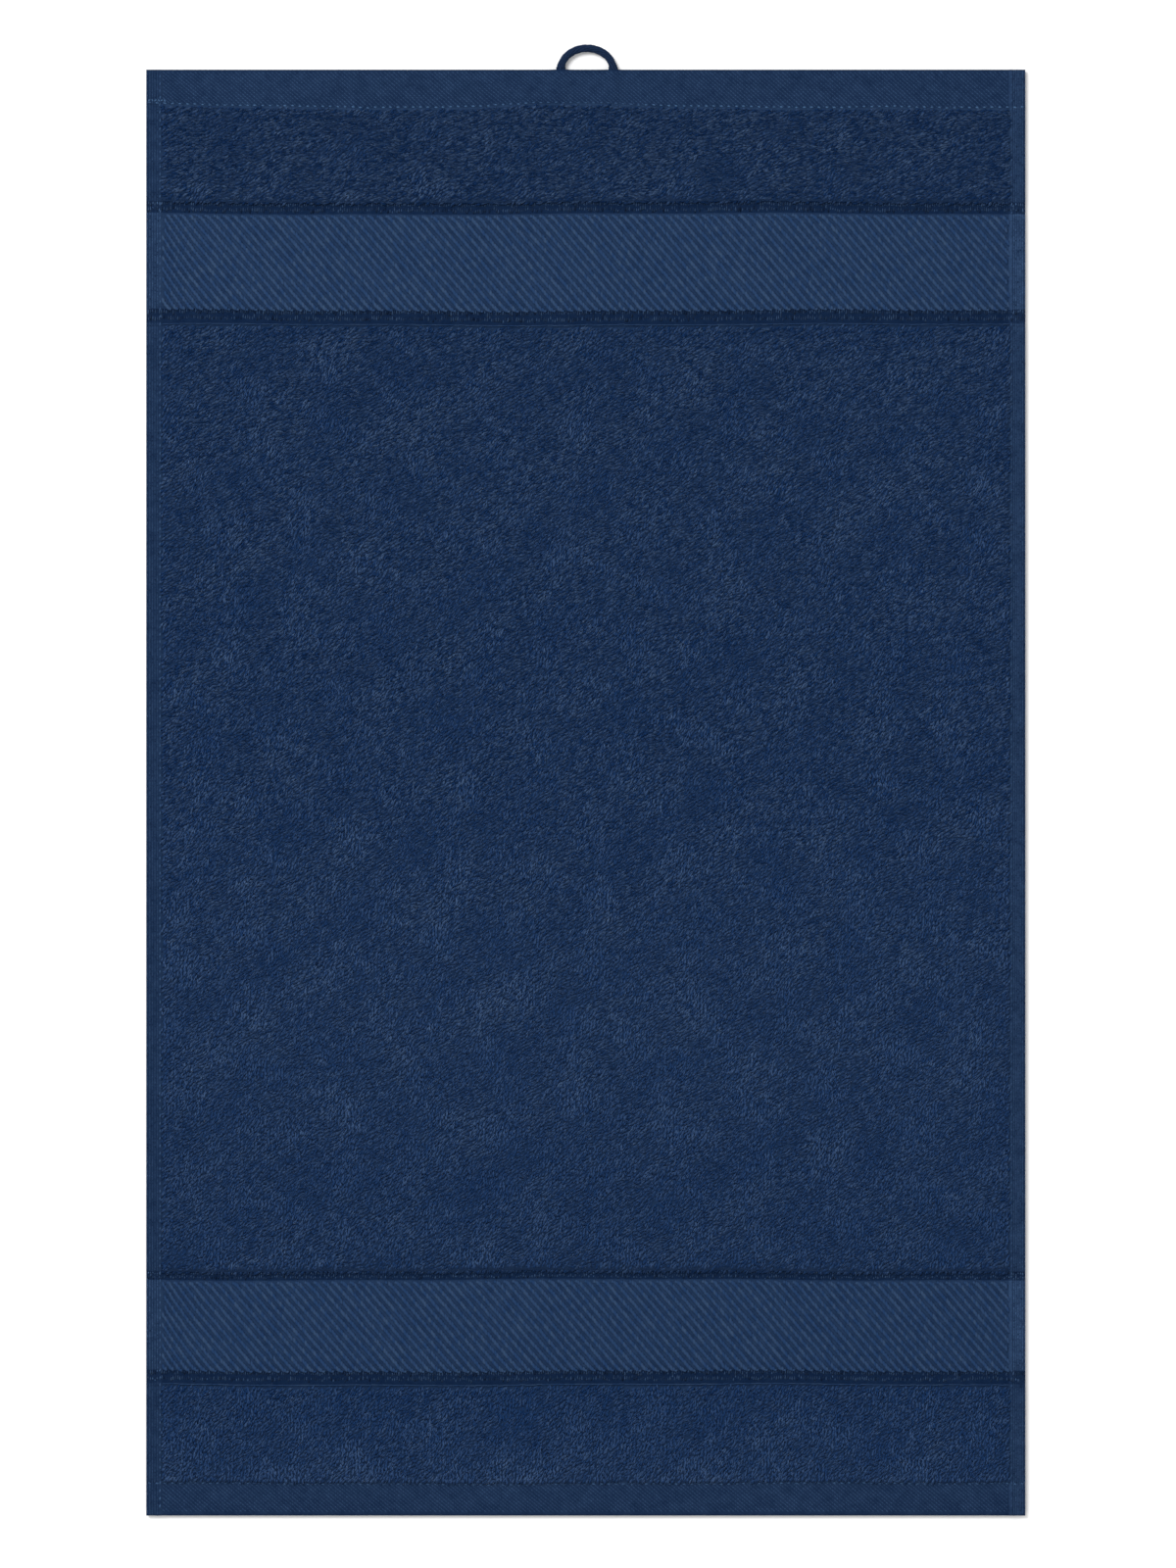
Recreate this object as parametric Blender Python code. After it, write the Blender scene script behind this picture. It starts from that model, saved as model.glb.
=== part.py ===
"""A terry hand towel lying face up, with a cord loop at its top edge to hang it by.

The cloth is one woven piece: three fields of pile, two flat-woven twill borders with a groove
above and below each, and a hem turned on all four sides. The loop is a round cord whose two
ends are caught inside the top hem. +X runs across the towel, +Y along it towards the loop and
+Z up. The origin is in the middle of the whole outline, on the surface that the towel lies on.
"""

import math
from typing import NamedTuple

import bmesh
import bpy
import numpy as np
from mathutils import Matrix, Vector, noise

MM = 0.001  # metres in a millimetre

# The cloth
CLOTH_WIDTH = 304 * MM
CLOTH_LENGTH = 500 * MM
PILE_THICKNESS = 3.4 * MM  # between the tips of the loops on the two faces
MIDDLE = PILE_THICKNESS / 2  # height of the cloth's middle layer above the surface
STEP = 0.3 * MM  # breadth of the step from one band of weave to the next
FOLD_RADIUS = 1.1 * MM  # roundness of the folded outer edges
FOLD_LIP = 0.07 * MM  # how far into that roundness the outermost edge already is
FOLD_LINES = (0, 0.4 * MM, 1.1 * MM)  # lines across the roundness, from the edge
NARROW = 1.35 * MM  # a band or strip this narrow is a single crease or crest
PATCH = 12.5 * MM  # size of the soft patches that lie higher and lower in the pile
PATCH_RISE = 0.28 * MM  # how much their tops differ from the mean at most

FLAT = math.radians(0.03)  # bend below which two faces count as one
STRAIGHT = math.radians(0.05)  # bend below which an edge counts as straight

# The twill of the borders
WALE_PITCH = 2.35 * MM  # from one diagonal rib to the next, square to them
WALE_ANGLE = math.radians(49)  # how steeply the ribs run down to the right
WALE_HEIGHT = 0.4 * MM

# The woven lines are a little wavy, and the top seam rises where the loop is caught
WAVES = ((0.28 * MM, 230 * MM, 0.4), (0.14 * MM, 71 * MM, 2.1))  # height, length, start
SEAM_RISE = 1.2 * MM
SEAM_RISE_HALF_WIDTH = 26 * MM
SEAM_RISE_FADE = 12 * MM  # how far below the seam the rise dies out in the pile

# The loop
CORD_DIAMETER = 2.5 * MM
LOOP_HALF_WIDTH = 9.05 * MM  # from the loop's middle to the middle of each leg
LOOP_HEIGHT = 7.46 * MM  # from the cloth's edge to the middle of the cord at the crown
LOOP_X = 0.4 * MM  # the loop is sewn a little right of the middle
LEG_DEPTH = 8.8 * MM  # how far the legs run into the hem
LEG_FLAT = 0.52  # thickness of a leg pressed in the hem, as a share of the round cord
LEG_SPREAD = 1.24  # its width there, as a share of the round cord
PRESS_LENGTH = 2.6 * MM  # stretch outside the hem over which the cord becomes round
CROWN_PARTS = 21  # straight parts in the arch, an odd number so that one is level at its crown
POCKET_CLEARANCE = 0.3 * MM
BULGE_HEIGHT = 0.56 * MM  # how much the hem swells on each face over a leg
BULGE_HALF_WIDTH = 3.2 * MM
BULGE_LINES = (0, 1.0 * MM, 2.0 * MM, 3.2 * MM, 4.8 * MM)  # from the middle of a leg outwards
BULGE_FADE = 2.2 * MM  # the swelling dies out over this length past the end of a leg

CORD_SIDES = 8  # flat sides round the cord, each touching a circle of its diameter
OVERALL_LENGTH = CLOTH_LENGTH + LOOP_HEIGHT + CORD_DIAMETER / 2
TOP_EDGE = OVERALL_LENGTH / 2 - LOOP_HEIGHT - CORD_DIAMETER / 2  # the cloth's edge at the loop

NAVY_PILE = (0.0135, 0.0290, 0.0790)
NAVY_CORD = (0.0160, 0.0330, 0.0820)


class Band(NamedTuple):
    """A stretch of one weave, from side to side."""

    name: str
    length: float
    field: float  # thickness between the side hems
    side: float  # thickness in the side hems
    uneven: bool = False
    twill: bool = False


class Strip(NamedTuple):
    """A strip along each side of the cloth, counted inwards from its edge."""

    name: str
    width: float
    extra: float  # thickness above that of the side hem


BANDS_ABOVE_MIDDLE = (
    Band("top hem", 12.5 * MM, 2.1 * MM, 2.6 * MM),
    Band("top seam", 0.8 * MM, 1.4 * MM, 1.9 * MM),
    Band("upper pile", 32.5 * MM, PILE_THICKNESS, 2.3 * MM, uneven=True),
    Band("groove over upper border", 4.1 * MM, 1.3 * MM, 1.8 * MM),
    Band("upper border", 33.2 * MM, 1.7 * MM, 2.2 * MM, twill=True),
    Band("groove under upper border", 4.9 * MM, 1.3 * MM, 1.8 * MM),
    Band("upper weft line", 0.6 * MM, 1.9 * MM, 2.1 * MM),
    Band("upper weft gap", 0.7 * MM, 1.4 * MM, 1.9 * MM),
)
BANDS_BELOW_MIDDLE = (
    Band("groove over lower border", 3.05 * MM, 1.3 * MM, 1.8 * MM),
    Band("lower border", 31.35 * MM, 1.7 * MM, 2.2 * MM, twill=True),
    Band("groove under lower border", 4.6 * MM, 1.3 * MM, 1.8 * MM),
    Band("lower weft line", 0.65 * MM, 1.9 * MM, 2.1 * MM),
    Band("lower weft gap", 0.65 * MM, 1.4 * MM, 1.9 * MM),
    Band("lower pile", 32.35 * MM, PILE_THICKNESS, 2.3 * MM, uneven=True),
    Band("bottom seam", 0.85 * MM, 1.4 * MM, 1.9 * MM),
    Band("bottom hem", 11.15 * MM, 2.1 * MM, 2.6 * MM),
)
STRIPS = (
    Strip("side hem", 5.6 * MM, 0),
    Strip("hem ridge", 1.3 * MM, 0.25 * MM),
    Strip("side seam", 0.7 * MM, -0.5 * MM),
)


def with_middle(above, below):
    """All bands from the top edge down, with the main pile filling what is left between."""
    taken = sum(band.length for band in above + below)
    middle = Band("main pile", CLOTH_LENGTH - taken, PILE_THICKNESS, 2.3 * MM, uneven=True)
    return (*above, middle, *below)


BANDS = with_middle(BANDS_ABOVE_MIDDLE, BANDS_BELOW_MIDDLE)
SIDES_WIDTH = sum(strip.width for strip in STRIPS)


def spans(pieces, size):
    """Each piece with its start and end along a line that they share."""
    ends = np.cumsum([getattr(piece, size) for piece in pieces])
    return [(piece, end - getattr(piece, size), end) for piece, end in zip(pieces, ends)]


def level_places(start, end):
    """The ends of the level part of a piece, or its middle where it is a single crease."""
    if end - start < NARROW:
        return [(start + end) / 2]
    return [start + STEP / 2, end - STEP / 2]


def stepped(pieces, size, value):
    """Positions and values of a line that is level along each piece, with a slope between them."""
    positions, values = [], []
    for piece, start, end in spans(pieces, size):
        for place in level_places(start, end):
            positions.append(place)
            values.append(getattr(piece, value))
    return positions, values


FIELD_LINE = stepped(BANDS, "length", "field")
SIDE_LINE = stepped(BANDS, "length", "side")
EXTRA_LINE = stepped((*STRIPS, Strip("field", CLOTH_WIDTH, 0)), "width", "extra")
HEM_LENGTH = BANDS[0].length
LEG_XS = (LOOP_X - LOOP_HALF_WIDTH, LOOP_X + LOOP_HALF_WIDTH)


def down(y):
    """Distance from the cloth's top edge."""
    return TOP_EDGE - y


def inward(x):
    """Distance from the nearer side of the cloth."""
    return CLOTH_WIDTH / 2 - abs(x)


def fade(distance, length):
    """1 at no distance, falling smoothly to 0 at the given length."""
    share = min(max(distance / length, 0), 1)
    return 0.5 + 0.5 * math.cos(math.pi * share)


def thickness(x, y):
    """Thickness of the weave and hems, before wales, patches and the swelling over the legs."""
    v, u = down(y), inward(x)
    field, side = np.interp(v, *FIELD_LINE), np.interp(v, *SIDE_LINE)
    in_side = np.interp(u, [SIDES_WIDTH - STEP / 2, SIDES_WIDTH + STEP / 2], [1, 0])
    flat = field + (side - field) * in_side + np.interp(u, *EXTRA_LINE)
    edge = min(u, v, CLOTH_LENGTH - v)
    turned = min(1, (edge + FOLD_LIP) / FOLD_RADIUS)
    return flat * math.sqrt(1 - (1 - turned) ** 2)


def bulge(x, y):
    """How much each face of the top hem swells over the two legs of the loop."""
    across = max(fade(abs(x - leg), BULGE_HALF_WIDTH * 1.5) for leg in LEG_XS)
    return BULGE_HEIGHT * across * fade(down(y) - LEG_DEPTH, BULGE_FADE)


def band_at(y):
    """The band that holds y, leaving out the slopes at its two ends, or None."""
    for band, start, end in spans(BANDS, "length"):
        if start + STEP * 0.4 < down(y) < end - STEP * 0.4:
            return band
    return None


def in_field(x):
    """Whether x lies between the side seams, clear of the slope next to them."""
    return inward(x) > SIDES_WIDTH + STEP * 0.4


def wale(x, y):
    """Height of the diagonal ribs of a twill border."""
    along = x * math.sin(WALE_ANGLE) + y * math.cos(WALE_ANGLE)
    phase = along / WALE_PITCH
    return WALE_HEIGHT * (1 - abs(2 * (phase - math.floor(phase)) - 1))


def relief(x, y):
    """What the face adds to the plain thickness: twill ribs, or high and low patches of pile."""
    band = band_at(y)
    if band is None or not in_field(x):
        return 0.0
    if band.twill:
        return wale(x, y)
    if band.uneven:
        return PATCH_RISE * noise.noise(Vector((x, y, 0)) / (PATCH * 1.7))
    return 0.0


def drift(x, y):
    """How far the woven lines wander along the towel from their straight course."""
    v = down(y)
    wander = sum(h * math.sin(2 * math.pi * x / length + start + 31 * y) for h, length, start in WAVES)
    wander *= min(1, min(v, CLOTH_LENGTH - v) / HEM_LENGTH)
    rise = fade(abs(x - LOOP_X) - SEAM_RISE_HALF_WIDTH / 2, SEAM_RISE_HALF_WIDTH)
    past = v - HEM_LENGTH
    rise *= fade(past, SEAM_RISE_FADE) if past > 0 else max(0, v - FOLD_RADIUS) / HEM_LENGTH
    return wander + SEAM_RISE * rise


def row_places():
    """Distances from the top edge at which the cloth has a line of points across it."""
    places = set(FOLD_LINES) | {CLOTH_LENGTH - line for line in FOLD_LINES}
    places.add(LEG_DEPTH)
    places.add(LEG_DEPTH + BULGE_FADE)
    for band, start, end in spans(BANDS, "length"):
        places.update(p for p in level_places(start, end) if STEP < p < CLOTH_LENGTH - STEP)
        if band.uneven:
            parts = round(band.length / PATCH)
            places.update(start + band.length * part / parts for part in range(1, parts))
    return sorted(places)


def column_places():
    """Distances from the left side at which the cloth has a line of points along it."""
    side = list(FOLD_LINES)
    for _, start, end in spans(STRIPS, "width"):
        side += [place for place in level_places(start, end) if place > STEP]
    side.append(SIDES_WIDTH + STEP / 2)
    first, last = side[-1], CLOTH_WIDTH - side[-1]
    parts = round((last - first) / PATCH)
    field = [first + (last - first) * part / parts for part in range(1, parts)]
    return side + field + [CLOTH_WIDTH - place for place in reversed(side)]


def flat_slab():
    """A slab of plain thickness with its points on the rows and columns of the cloth."""
    rows, columns = row_places(), column_places()
    bm = bmesh.new()
    bmesh.ops.create_grid(bm, x_segments=len(columns) - 1, y_segments=len(rows) - 1, size=1)
    for vert in bm.verts:
        column = round((vert.co.x + 1) / 2 * (len(columns) - 1))
        row = round((1 - vert.co.y) / 2 * (len(rows) - 1))
        vert.co = (columns[column] - CLOTH_WIDTH / 2, TOP_EDGE - rows[row], 0)
    made = bmesh.ops.extrude_face_region(bm, geom=bm.faces[:])
    top = [item for item in made["geom"] if isinstance(item, bmesh.types.BMVert)]
    bmesh.ops.translate(bm, verts=top, vec=(0, 0, PILE_THICKNESS))
    bmesh.ops.recalc_face_normals(bm, faces=bm.faces[:])
    return bm


def cut_faces(bm, faces, planes):
    """Cuts the given faces, and no others, along each plane (a point and a normal)."""
    kept = set(faces)
    for point, normal in planes:
        edges = {edge for face in kept for edge in face.edges}
        verts = {vert for face in kept for vert in face.verts}
        cut = bmesh.ops.bisect_plane(
            bm, geom=[*kept, *edges, *verts], dist=1e-7, plane_co=point, plane_no=normal
        )
        kept = {item for item in cut["geom"] if isinstance(item, bmesh.types.BMFace)}
    return kept


def cut_wales(bm, start, end):
    """Cuts a border's face along the foot and the crest of every twill rib."""
    field_edge = CLOTH_WIDTH / 2 - SIDES_WIDTH + STEP / 2
    inside = [
        face
        for face in bm.faces
        if face.normal.z > 0.5
        and abs(face.calc_center_median().x) < field_edge
        and start - STEP / 2 < down(face.calc_center_median().y) < end + STEP / 2
    ]
    rows = {}
    for face in inside:
        middle = face.calc_center_median()
        on_side = abs(middle.x) > field_edge - STEP
        rows.setdefault((round(middle.y, 6), on_side and middle.x > 0, on_side), []).append(face)
    whole = []
    for faces in rows.values():
        whole += bmesh.ops.dissolve_faces(bm, faces=faces, use_verts=False)["region"]
    normal = Vector((math.sin(WALE_ANGLE), math.cos(WALE_ANGLE), 0))
    reach = [normal.dot(vert.co) / WALE_PITCH for face in whole for vert in face.verts]
    halves = range(math.ceil(2 * min(reach)), math.floor(2 * max(reach)) + 1)
    cut_faces(bm, whole, [(normal * half * WALE_PITCH / 2, normal) for half in halves])


def cut_hem_by_legs(bm):
    """Adds points to the top hem beside each leg, so that it can swell over them."""
    hem = [face for face in bm.faces if down(face.calc_center_median().y) < HEM_LENGTH]
    places = {leg + side * line for leg in LEG_XS for line in BULGE_LINES for side in (-1, 1)}
    cut_faces(bm, hem, [(Vector((place, 0, 0)), Vector((1, 0, 0))) for place in sorted(places)])


def shape(bm):
    """Moves every point of the slab to its height, then lets the woven lines wander."""
    for vert in bm.verts:
        x, y, z = vert.co
        half = thickness(x, y) / 2 + bulge(x, y)
        vert.co.z = MIDDLE + half + relief(x, y) if z > MIDDLE else MIDDLE - half
    for vert in bm.verts:
        vert.co.y += drift(vert.co.x, vert.co.y)


def merge_flat_faces(bm):
    """Joins neighbouring faces that lie in one plane, then drops points left on straight edges."""
    bm.normal_update()
    flat = []
    for edge in bm.edges:
        first, second = edge.link_faces
        if first.normal.cross(second.normal).length < FLAT:
            flat.append(edge)
    bmesh.ops.dissolve_edges(bm, edges=flat, use_verts=False, use_face_split=False)
    spare = [
        vert
        for vert in bm.verts
        if len(vert.link_edges) == 2 and vert.calc_edge_angle() < STRAIGHT
    ]
    bmesh.ops.dissolve_verts(bm, verts=spare)


def make_material(name, colour, roughness):
    """A plain woven finish."""
    material = bpy.data.materials.new(name)
    material.use_nodes = True
    shader = material.node_tree.nodes["Principled BSDF"]
    shader.inputs["Base Color"].default_value = (*colour, 1)
    shader.inputs["Roughness"].default_value = roughness
    shader.inputs["Metallic"].default_value = 0
    material.diffuse_color = (*colour, 1)
    return material


def make_cloth(collection):
    """The towel's cloth, without the pockets for the legs of the loop."""
    bm = flat_slab()
    for band, start, end in spans(BANDS, "length"):
        if band.twill:
            cut_wales(bm, start, end)
    cut_hem_by_legs(bm)
    shape(bm)
    merge_flat_faces(bm)
    bmesh.ops.triangulate(bm, faces=bm.faces[:])
    mesh = bpy.data.meshes.new("towel_cloth")
    bm.to_mesh(mesh)
    bm.free()
    cloth = bpy.data.objects.new("towel_cloth", mesh)
    mesh.materials.append(make_material("navy terry", NAVY_PILE, 0.95))
    collection.objects.link(cloth)
    return cloth


def pressed(point):
    """A point of the round cord, moved to where it lies once the leg is pressed in the hem."""
    leg = min(LEG_XS, key=lambda x: abs(x - point.x))
    share = fade(point.y - TOP_EDGE, PRESS_LENGTH)
    wide = 1 + (LEG_SPREAD - 1) * share
    flat = 1 + (LEG_FLAT - 1) * share
    return Vector((leg + (point.x - leg) * wide, point.y, MIDDLE + (point.z - MIDDLE) * flat))


def loop_path():
    """The middle line of the cord: up one leg, round a half ellipse and down the other leg."""
    left, right = LEG_XS
    arch = [
        (
            LOOP_X - LOOP_HALF_WIDTH * math.cos(math.pi * part / CROWN_PARTS),
            TOP_EDGE + LOOP_HEIGHT * math.sin(math.pi * part / CROWN_PARTS),
        )
        for part in range(CROWN_PARTS + 1)
    ]
    foot = TOP_EDGE - LEG_DEPTH
    return [(left, foot), *arch, (right, foot)]


def make_loop(collection):
    """The hanging loop, a round cord with a flat side up, down and towards its own middle."""
    curve = bpy.data.curves.new("loop route", "CURVE")
    curve.dimensions = "3D"
    curve.bevel_depth = CORD_DIAMETER / 2 / math.cos(math.pi / CORD_SIDES)
    curve.bevel_resolution = CORD_SIDES // 2 - 2
    curve.use_fill_caps = True
    path = loop_path()
    spline = curve.splines.new("POLY")
    spline.points.add(len(path) - 1)
    for point, (x, y) in zip(spline.points, path):
        point.co = (x, y, MIDDLE, 1)
        point.tilt = math.pi / CORD_SIDES
    route = bpy.data.objects.new("loop route", curve)
    collection.objects.link(route)
    depsgraph = bpy.context.evaluated_depsgraph_get()
    mesh = bpy.data.meshes.new_from_object(route.evaluated_get(depsgraph))
    bpy.data.objects.remove(route)
    mesh.name = "hanging_loop"
    bm = bmesh.new()
    bm.from_mesh(mesh)
    bmesh.ops.remove_doubles(bm, verts=bm.verts[:], dist=0.01 * MM)
    for vert in bm.verts:
        vert.co = pressed(vert.co)
    bmesh.ops.recalc_face_normals(bm, faces=bm.faces[:])
    bm.to_mesh(mesh)
    bm.free()
    loop = bpy.data.objects.new("hanging_loop", mesh)
    mesh.materials.clear()
    mesh.materials.append(make_material("navy cord", NAVY_CORD, 0.75))
    collection.objects.link(loop)
    mesh.shade_smooth()
    return loop


def cut_pocket(cloth, leg_x, collection):
    """Hollows the top hem for one pressed leg of the loop, with a little room all round."""
    half_width = CORD_DIAMETER / 2 * LEG_SPREAD + POCKET_CLEARANCE
    half_height = CORD_DIAMETER / 2 * LEG_FLAT + POCKET_CLEARANCE
    depth = LEG_DEPTH + POCKET_CLEARANCE
    overrun = 2 * MM
    bm = bmesh.new()
    bmesh.ops.create_cone(
        bm, cap_ends=True, segments=16, radius1=1, radius2=1, depth=depth + overrun
    )
    bmesh.ops.scale(bm, verts=bm.verts[:], vec=(half_width, half_height, 1))
    bmesh.ops.rotate(bm, verts=bm.verts[:], matrix=Matrix.Rotation(math.radians(90), 3, "X"))
    bmesh.ops.translate(bm, verts=bm.verts[:], vec=(leg_x, TOP_EDGE + (overrun - depth) / 2, MIDDLE))
    mesh = bpy.data.meshes.new("pocket")
    bm.to_mesh(mesh)
    bm.free()
    cutter = bpy.data.objects.new("pocket", mesh)
    cutter.display_type = "WIRE"
    cutter.hide_render = True
    collection.objects.link(cutter)
    boolean = cloth.modifiers.new("pocket", "BOOLEAN")
    boolean.operation = "DIFFERENCE"
    boolean.solver = "EXACT"
    boolean.object = cutter


def make_collection(name):
    """A new collection in the scene."""
    collection = bpy.data.collections.new(name)
    bpy.context.scene.collection.children.link(collection)
    return collection


def main():
    """Builds the towel."""
    for old in list(bpy.data.objects):
        bpy.data.objects.remove(old)
    parts = make_collection("hand towel")
    cutters = make_collection("cutters")
    cloth = make_cloth(parts)
    make_loop(parts)
    for leg_x in LEG_XS:
        cut_pocket(cloth, leg_x, cutters)


main()
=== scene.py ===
"""The looks of a navy terry hand towel that lies face up on a pale studio floor.

The ground weave is one closed sheet with its hems turned. On it lie strands of yarn: the loops of
the pile, the floats of the twill borders, the warp in the grooves, the hatch of the hems and the
stitches. Sizes are in metres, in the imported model's frame: +X across the towel, +Y along it
towards its loop and +Z up from the surface that it lies on.
"""

import logging
import math
from dataclasses import dataclass, field
from enum import Enum
from typing import Callable, Iterator, NamedTuple

import bpy
import numpy as np
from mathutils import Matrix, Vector


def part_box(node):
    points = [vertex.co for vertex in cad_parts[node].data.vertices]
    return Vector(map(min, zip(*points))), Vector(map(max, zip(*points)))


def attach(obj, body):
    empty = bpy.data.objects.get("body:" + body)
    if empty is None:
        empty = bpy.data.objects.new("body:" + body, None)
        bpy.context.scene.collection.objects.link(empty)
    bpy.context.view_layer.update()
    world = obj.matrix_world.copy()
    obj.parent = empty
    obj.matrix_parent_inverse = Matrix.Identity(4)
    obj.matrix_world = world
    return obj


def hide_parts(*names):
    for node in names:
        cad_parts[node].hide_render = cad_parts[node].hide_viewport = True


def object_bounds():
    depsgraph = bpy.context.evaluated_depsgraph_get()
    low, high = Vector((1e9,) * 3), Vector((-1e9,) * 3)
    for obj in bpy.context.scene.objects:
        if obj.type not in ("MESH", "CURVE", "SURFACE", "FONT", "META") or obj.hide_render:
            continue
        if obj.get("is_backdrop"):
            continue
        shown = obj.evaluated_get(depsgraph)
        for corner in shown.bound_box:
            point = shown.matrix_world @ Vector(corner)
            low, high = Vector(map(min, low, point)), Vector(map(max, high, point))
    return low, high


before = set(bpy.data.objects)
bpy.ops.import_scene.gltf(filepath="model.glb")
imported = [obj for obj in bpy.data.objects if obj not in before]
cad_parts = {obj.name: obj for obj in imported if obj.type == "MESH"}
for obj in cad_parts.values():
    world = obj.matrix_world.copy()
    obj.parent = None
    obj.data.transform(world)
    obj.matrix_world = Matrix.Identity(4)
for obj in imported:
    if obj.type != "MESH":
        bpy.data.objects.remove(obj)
CAD_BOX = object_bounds()

MM = 0.001  # metres in a millimetre
BODY = "root"
BAKE_MAP = "OFBake"  # the UV map that the textures are baked through

log = logging.getLogger("towel")

Colour = tuple[float, float, float]


# ---------------------------------------------------------------- helpers for modelling


class Face(Enum):
    """The two faces of the towel, with the side of its middle layer that each is on."""

    FRONT = 1
    BACK = -1


class Slot(Enum):
    """The record's material slots."""

    TOWEL = "towel"
    CORD = "cord"


class Waves:
    """A smooth field of random hills and hollows, the same each time for one seed."""

    length_range: tuple[float, float] = (0.75, 1.7)  # of the waves, beside the distance between hills
    usual_height: float = 0.6

    def __init__(self, seed: int, size: float, count: int = 14) -> None:
        """Draws the directions, lengths and starts of the waves that are added up.

        Args:
            seed: the seed of the draw.
            size: the rough distance from one hill to the next.
            count: how many waves are added up.
        """
        rng = np.random.default_rng(seed)
        turns = rng.uniform(0, 2 * math.pi, count)
        lengths = size * rng.uniform(*self.length_range, count)
        self.steps = 2 * math.pi / lengths * np.array([np.cos(turns), np.sin(turns)])
        self.starts = rng.uniform(0, 2 * math.pi, count)

    def at(self, x: np.ndarray, y: np.ndarray) -> np.ndarray:
        """The field's height at each place, mostly from -1 to 1.

        Args:
            x: places across the towel.
            y: places along the towel.

        Returns:
            One height for each place.
        """
        total = np.zeros(np.broadcast(x, y).shape)
        for step_x, step_y, start in zip(*self.steps, self.starts):
            total += np.cos(step_x * x + step_y * y + start)
        return total / math.sqrt(len(self.starts) / 2) * self.usual_height


def fade(distance: np.ndarray, length: float) -> np.ndarray:
    """1 at no distance, falling smoothly to 0 at the given length."""
    return 0.5 + 0.5 * np.cos(math.pi * np.clip(distance / length, 0, 1))


def pairs(first: np.ndarray, second: np.ndarray) -> Iterator[np.ndarray]:
    """Every pairing of the values of two rows, as two rows of one length."""
    return (grid.ravel() for grid in np.meshgrid(first, second))


def deselect() -> None:
    """Leaves edit mode and deselects every object."""
    if bpy.context.mode != "OBJECT":
        bpy.ops.object.mode_set(mode="OBJECT")
    bpy.ops.object.select_all(action="DESELECT")


def pick_points(chosen: Callable[[Vector], bool]) -> None:
    """Selects, in edit mode, the points of the active mesh that a test picks, and no others.

    Args:
        chosen: says of a point's place whether it is picked.
    """
    bpy.ops.mesh.select_mode(type="VERT")
    bpy.ops.mesh.select_all(action="DESELECT")
    bpy.ops.object.mode_set(mode="OBJECT")
    for vert in bpy.context.object.data.vertices:
        vert.select = chosen(vert.co)
    bpy.ops.object.mode_set(mode="EDIT")


def mesh_from(name: str, points: np.ndarray, triangles: np.ndarray) -> bpy.types.Mesh:
    """A mesh of triangles.

    Args:
        name: the mesh's name.
        points: one row of x, y and z for each point.
        triangles: one row of three point numbers for each triangle.

    Returns:
        The mesh, shaded smooth.
    """
    mesh = bpy.data.meshes.new(name)
    mesh.vertices.add(len(points))
    mesh.vertices.foreach_set("co", points.astype(np.float32).ravel())
    mesh.loops.add(triangles.size)
    mesh.loops.foreach_set("vertex_index", triangles.astype(np.int32).ravel())
    mesh.polygons.add(len(triangles))
    mesh.polygons.foreach_set("loop_start", np.arange(0, triangles.size, 3, dtype=np.int32))
    mesh.update(calc_edges=True)
    mesh.shade_smooth()
    return mesh


def set_values(mesh: bpy.types.Mesh, name: str, values: np.ndarray) -> None:
    """Stores one number for each point of a mesh under a name, for its material to read."""
    attribute = mesh.attributes.new(name, "FLOAT", "POINT")
    attribute.data.foreach_set("value", values.astype(np.float32))


def set_map(mesh: bpy.types.Mesh, corners: np.ndarray) -> None:
    """Gives a mesh its bake map, from one row of u and v for each corner of a face."""
    layer = mesh.uv_layers.new(name=BAKE_MAP)
    layer.uv.foreach_set("vector", corners.astype(np.float32).ravel())


def corner_points(mesh: bpy.types.Mesh) -> np.ndarray:
    """The number of the point at each corner of a face.

    Args:
        mesh: the mesh.

    Returns:
        The points' numbers, in the mesh's order of corners.
    """
    found = np.empty(len(mesh.loops), np.int32)
    mesh.loops.foreach_get("vertex_index", found)
    return found


def point_places(mesh: bpy.types.Mesh) -> np.ndarray:
    """Where the points of a mesh are.

    Args:
        mesh: the mesh.

    Returns:
        One row of x, y and z for each point.
    """
    found = np.empty(len(mesh.vertices) * 3, np.float32)
    mesh.vertices.foreach_get("co", found)
    return found.reshape(-1, 3).astype(float)


def show(name: str, mesh: bpy.types.Mesh, material: bpy.types.Material, slot: Slot) -> bpy.types.Object:
    """Makes a mesh a piece of the towel.

    Args:
        name: the piece's name.
        mesh: its mesh, in place.
        material: its finish.
        slot: the record's material slot; not used.

    Returns:
        The piece.
    """
    piece = bpy.data.objects.new(name, mesh)
    bpy.context.scene.collection.objects.link(piece)
    mesh.materials.clear()
    mesh.materials.append(material)
    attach(piece, BODY)
    mesh.calc_loop_triangles()
    log.info("%s: %d triangles", name, len(mesh.loop_triangles))
    return piece


# ---------------------------------------------------------------- finishes


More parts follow.
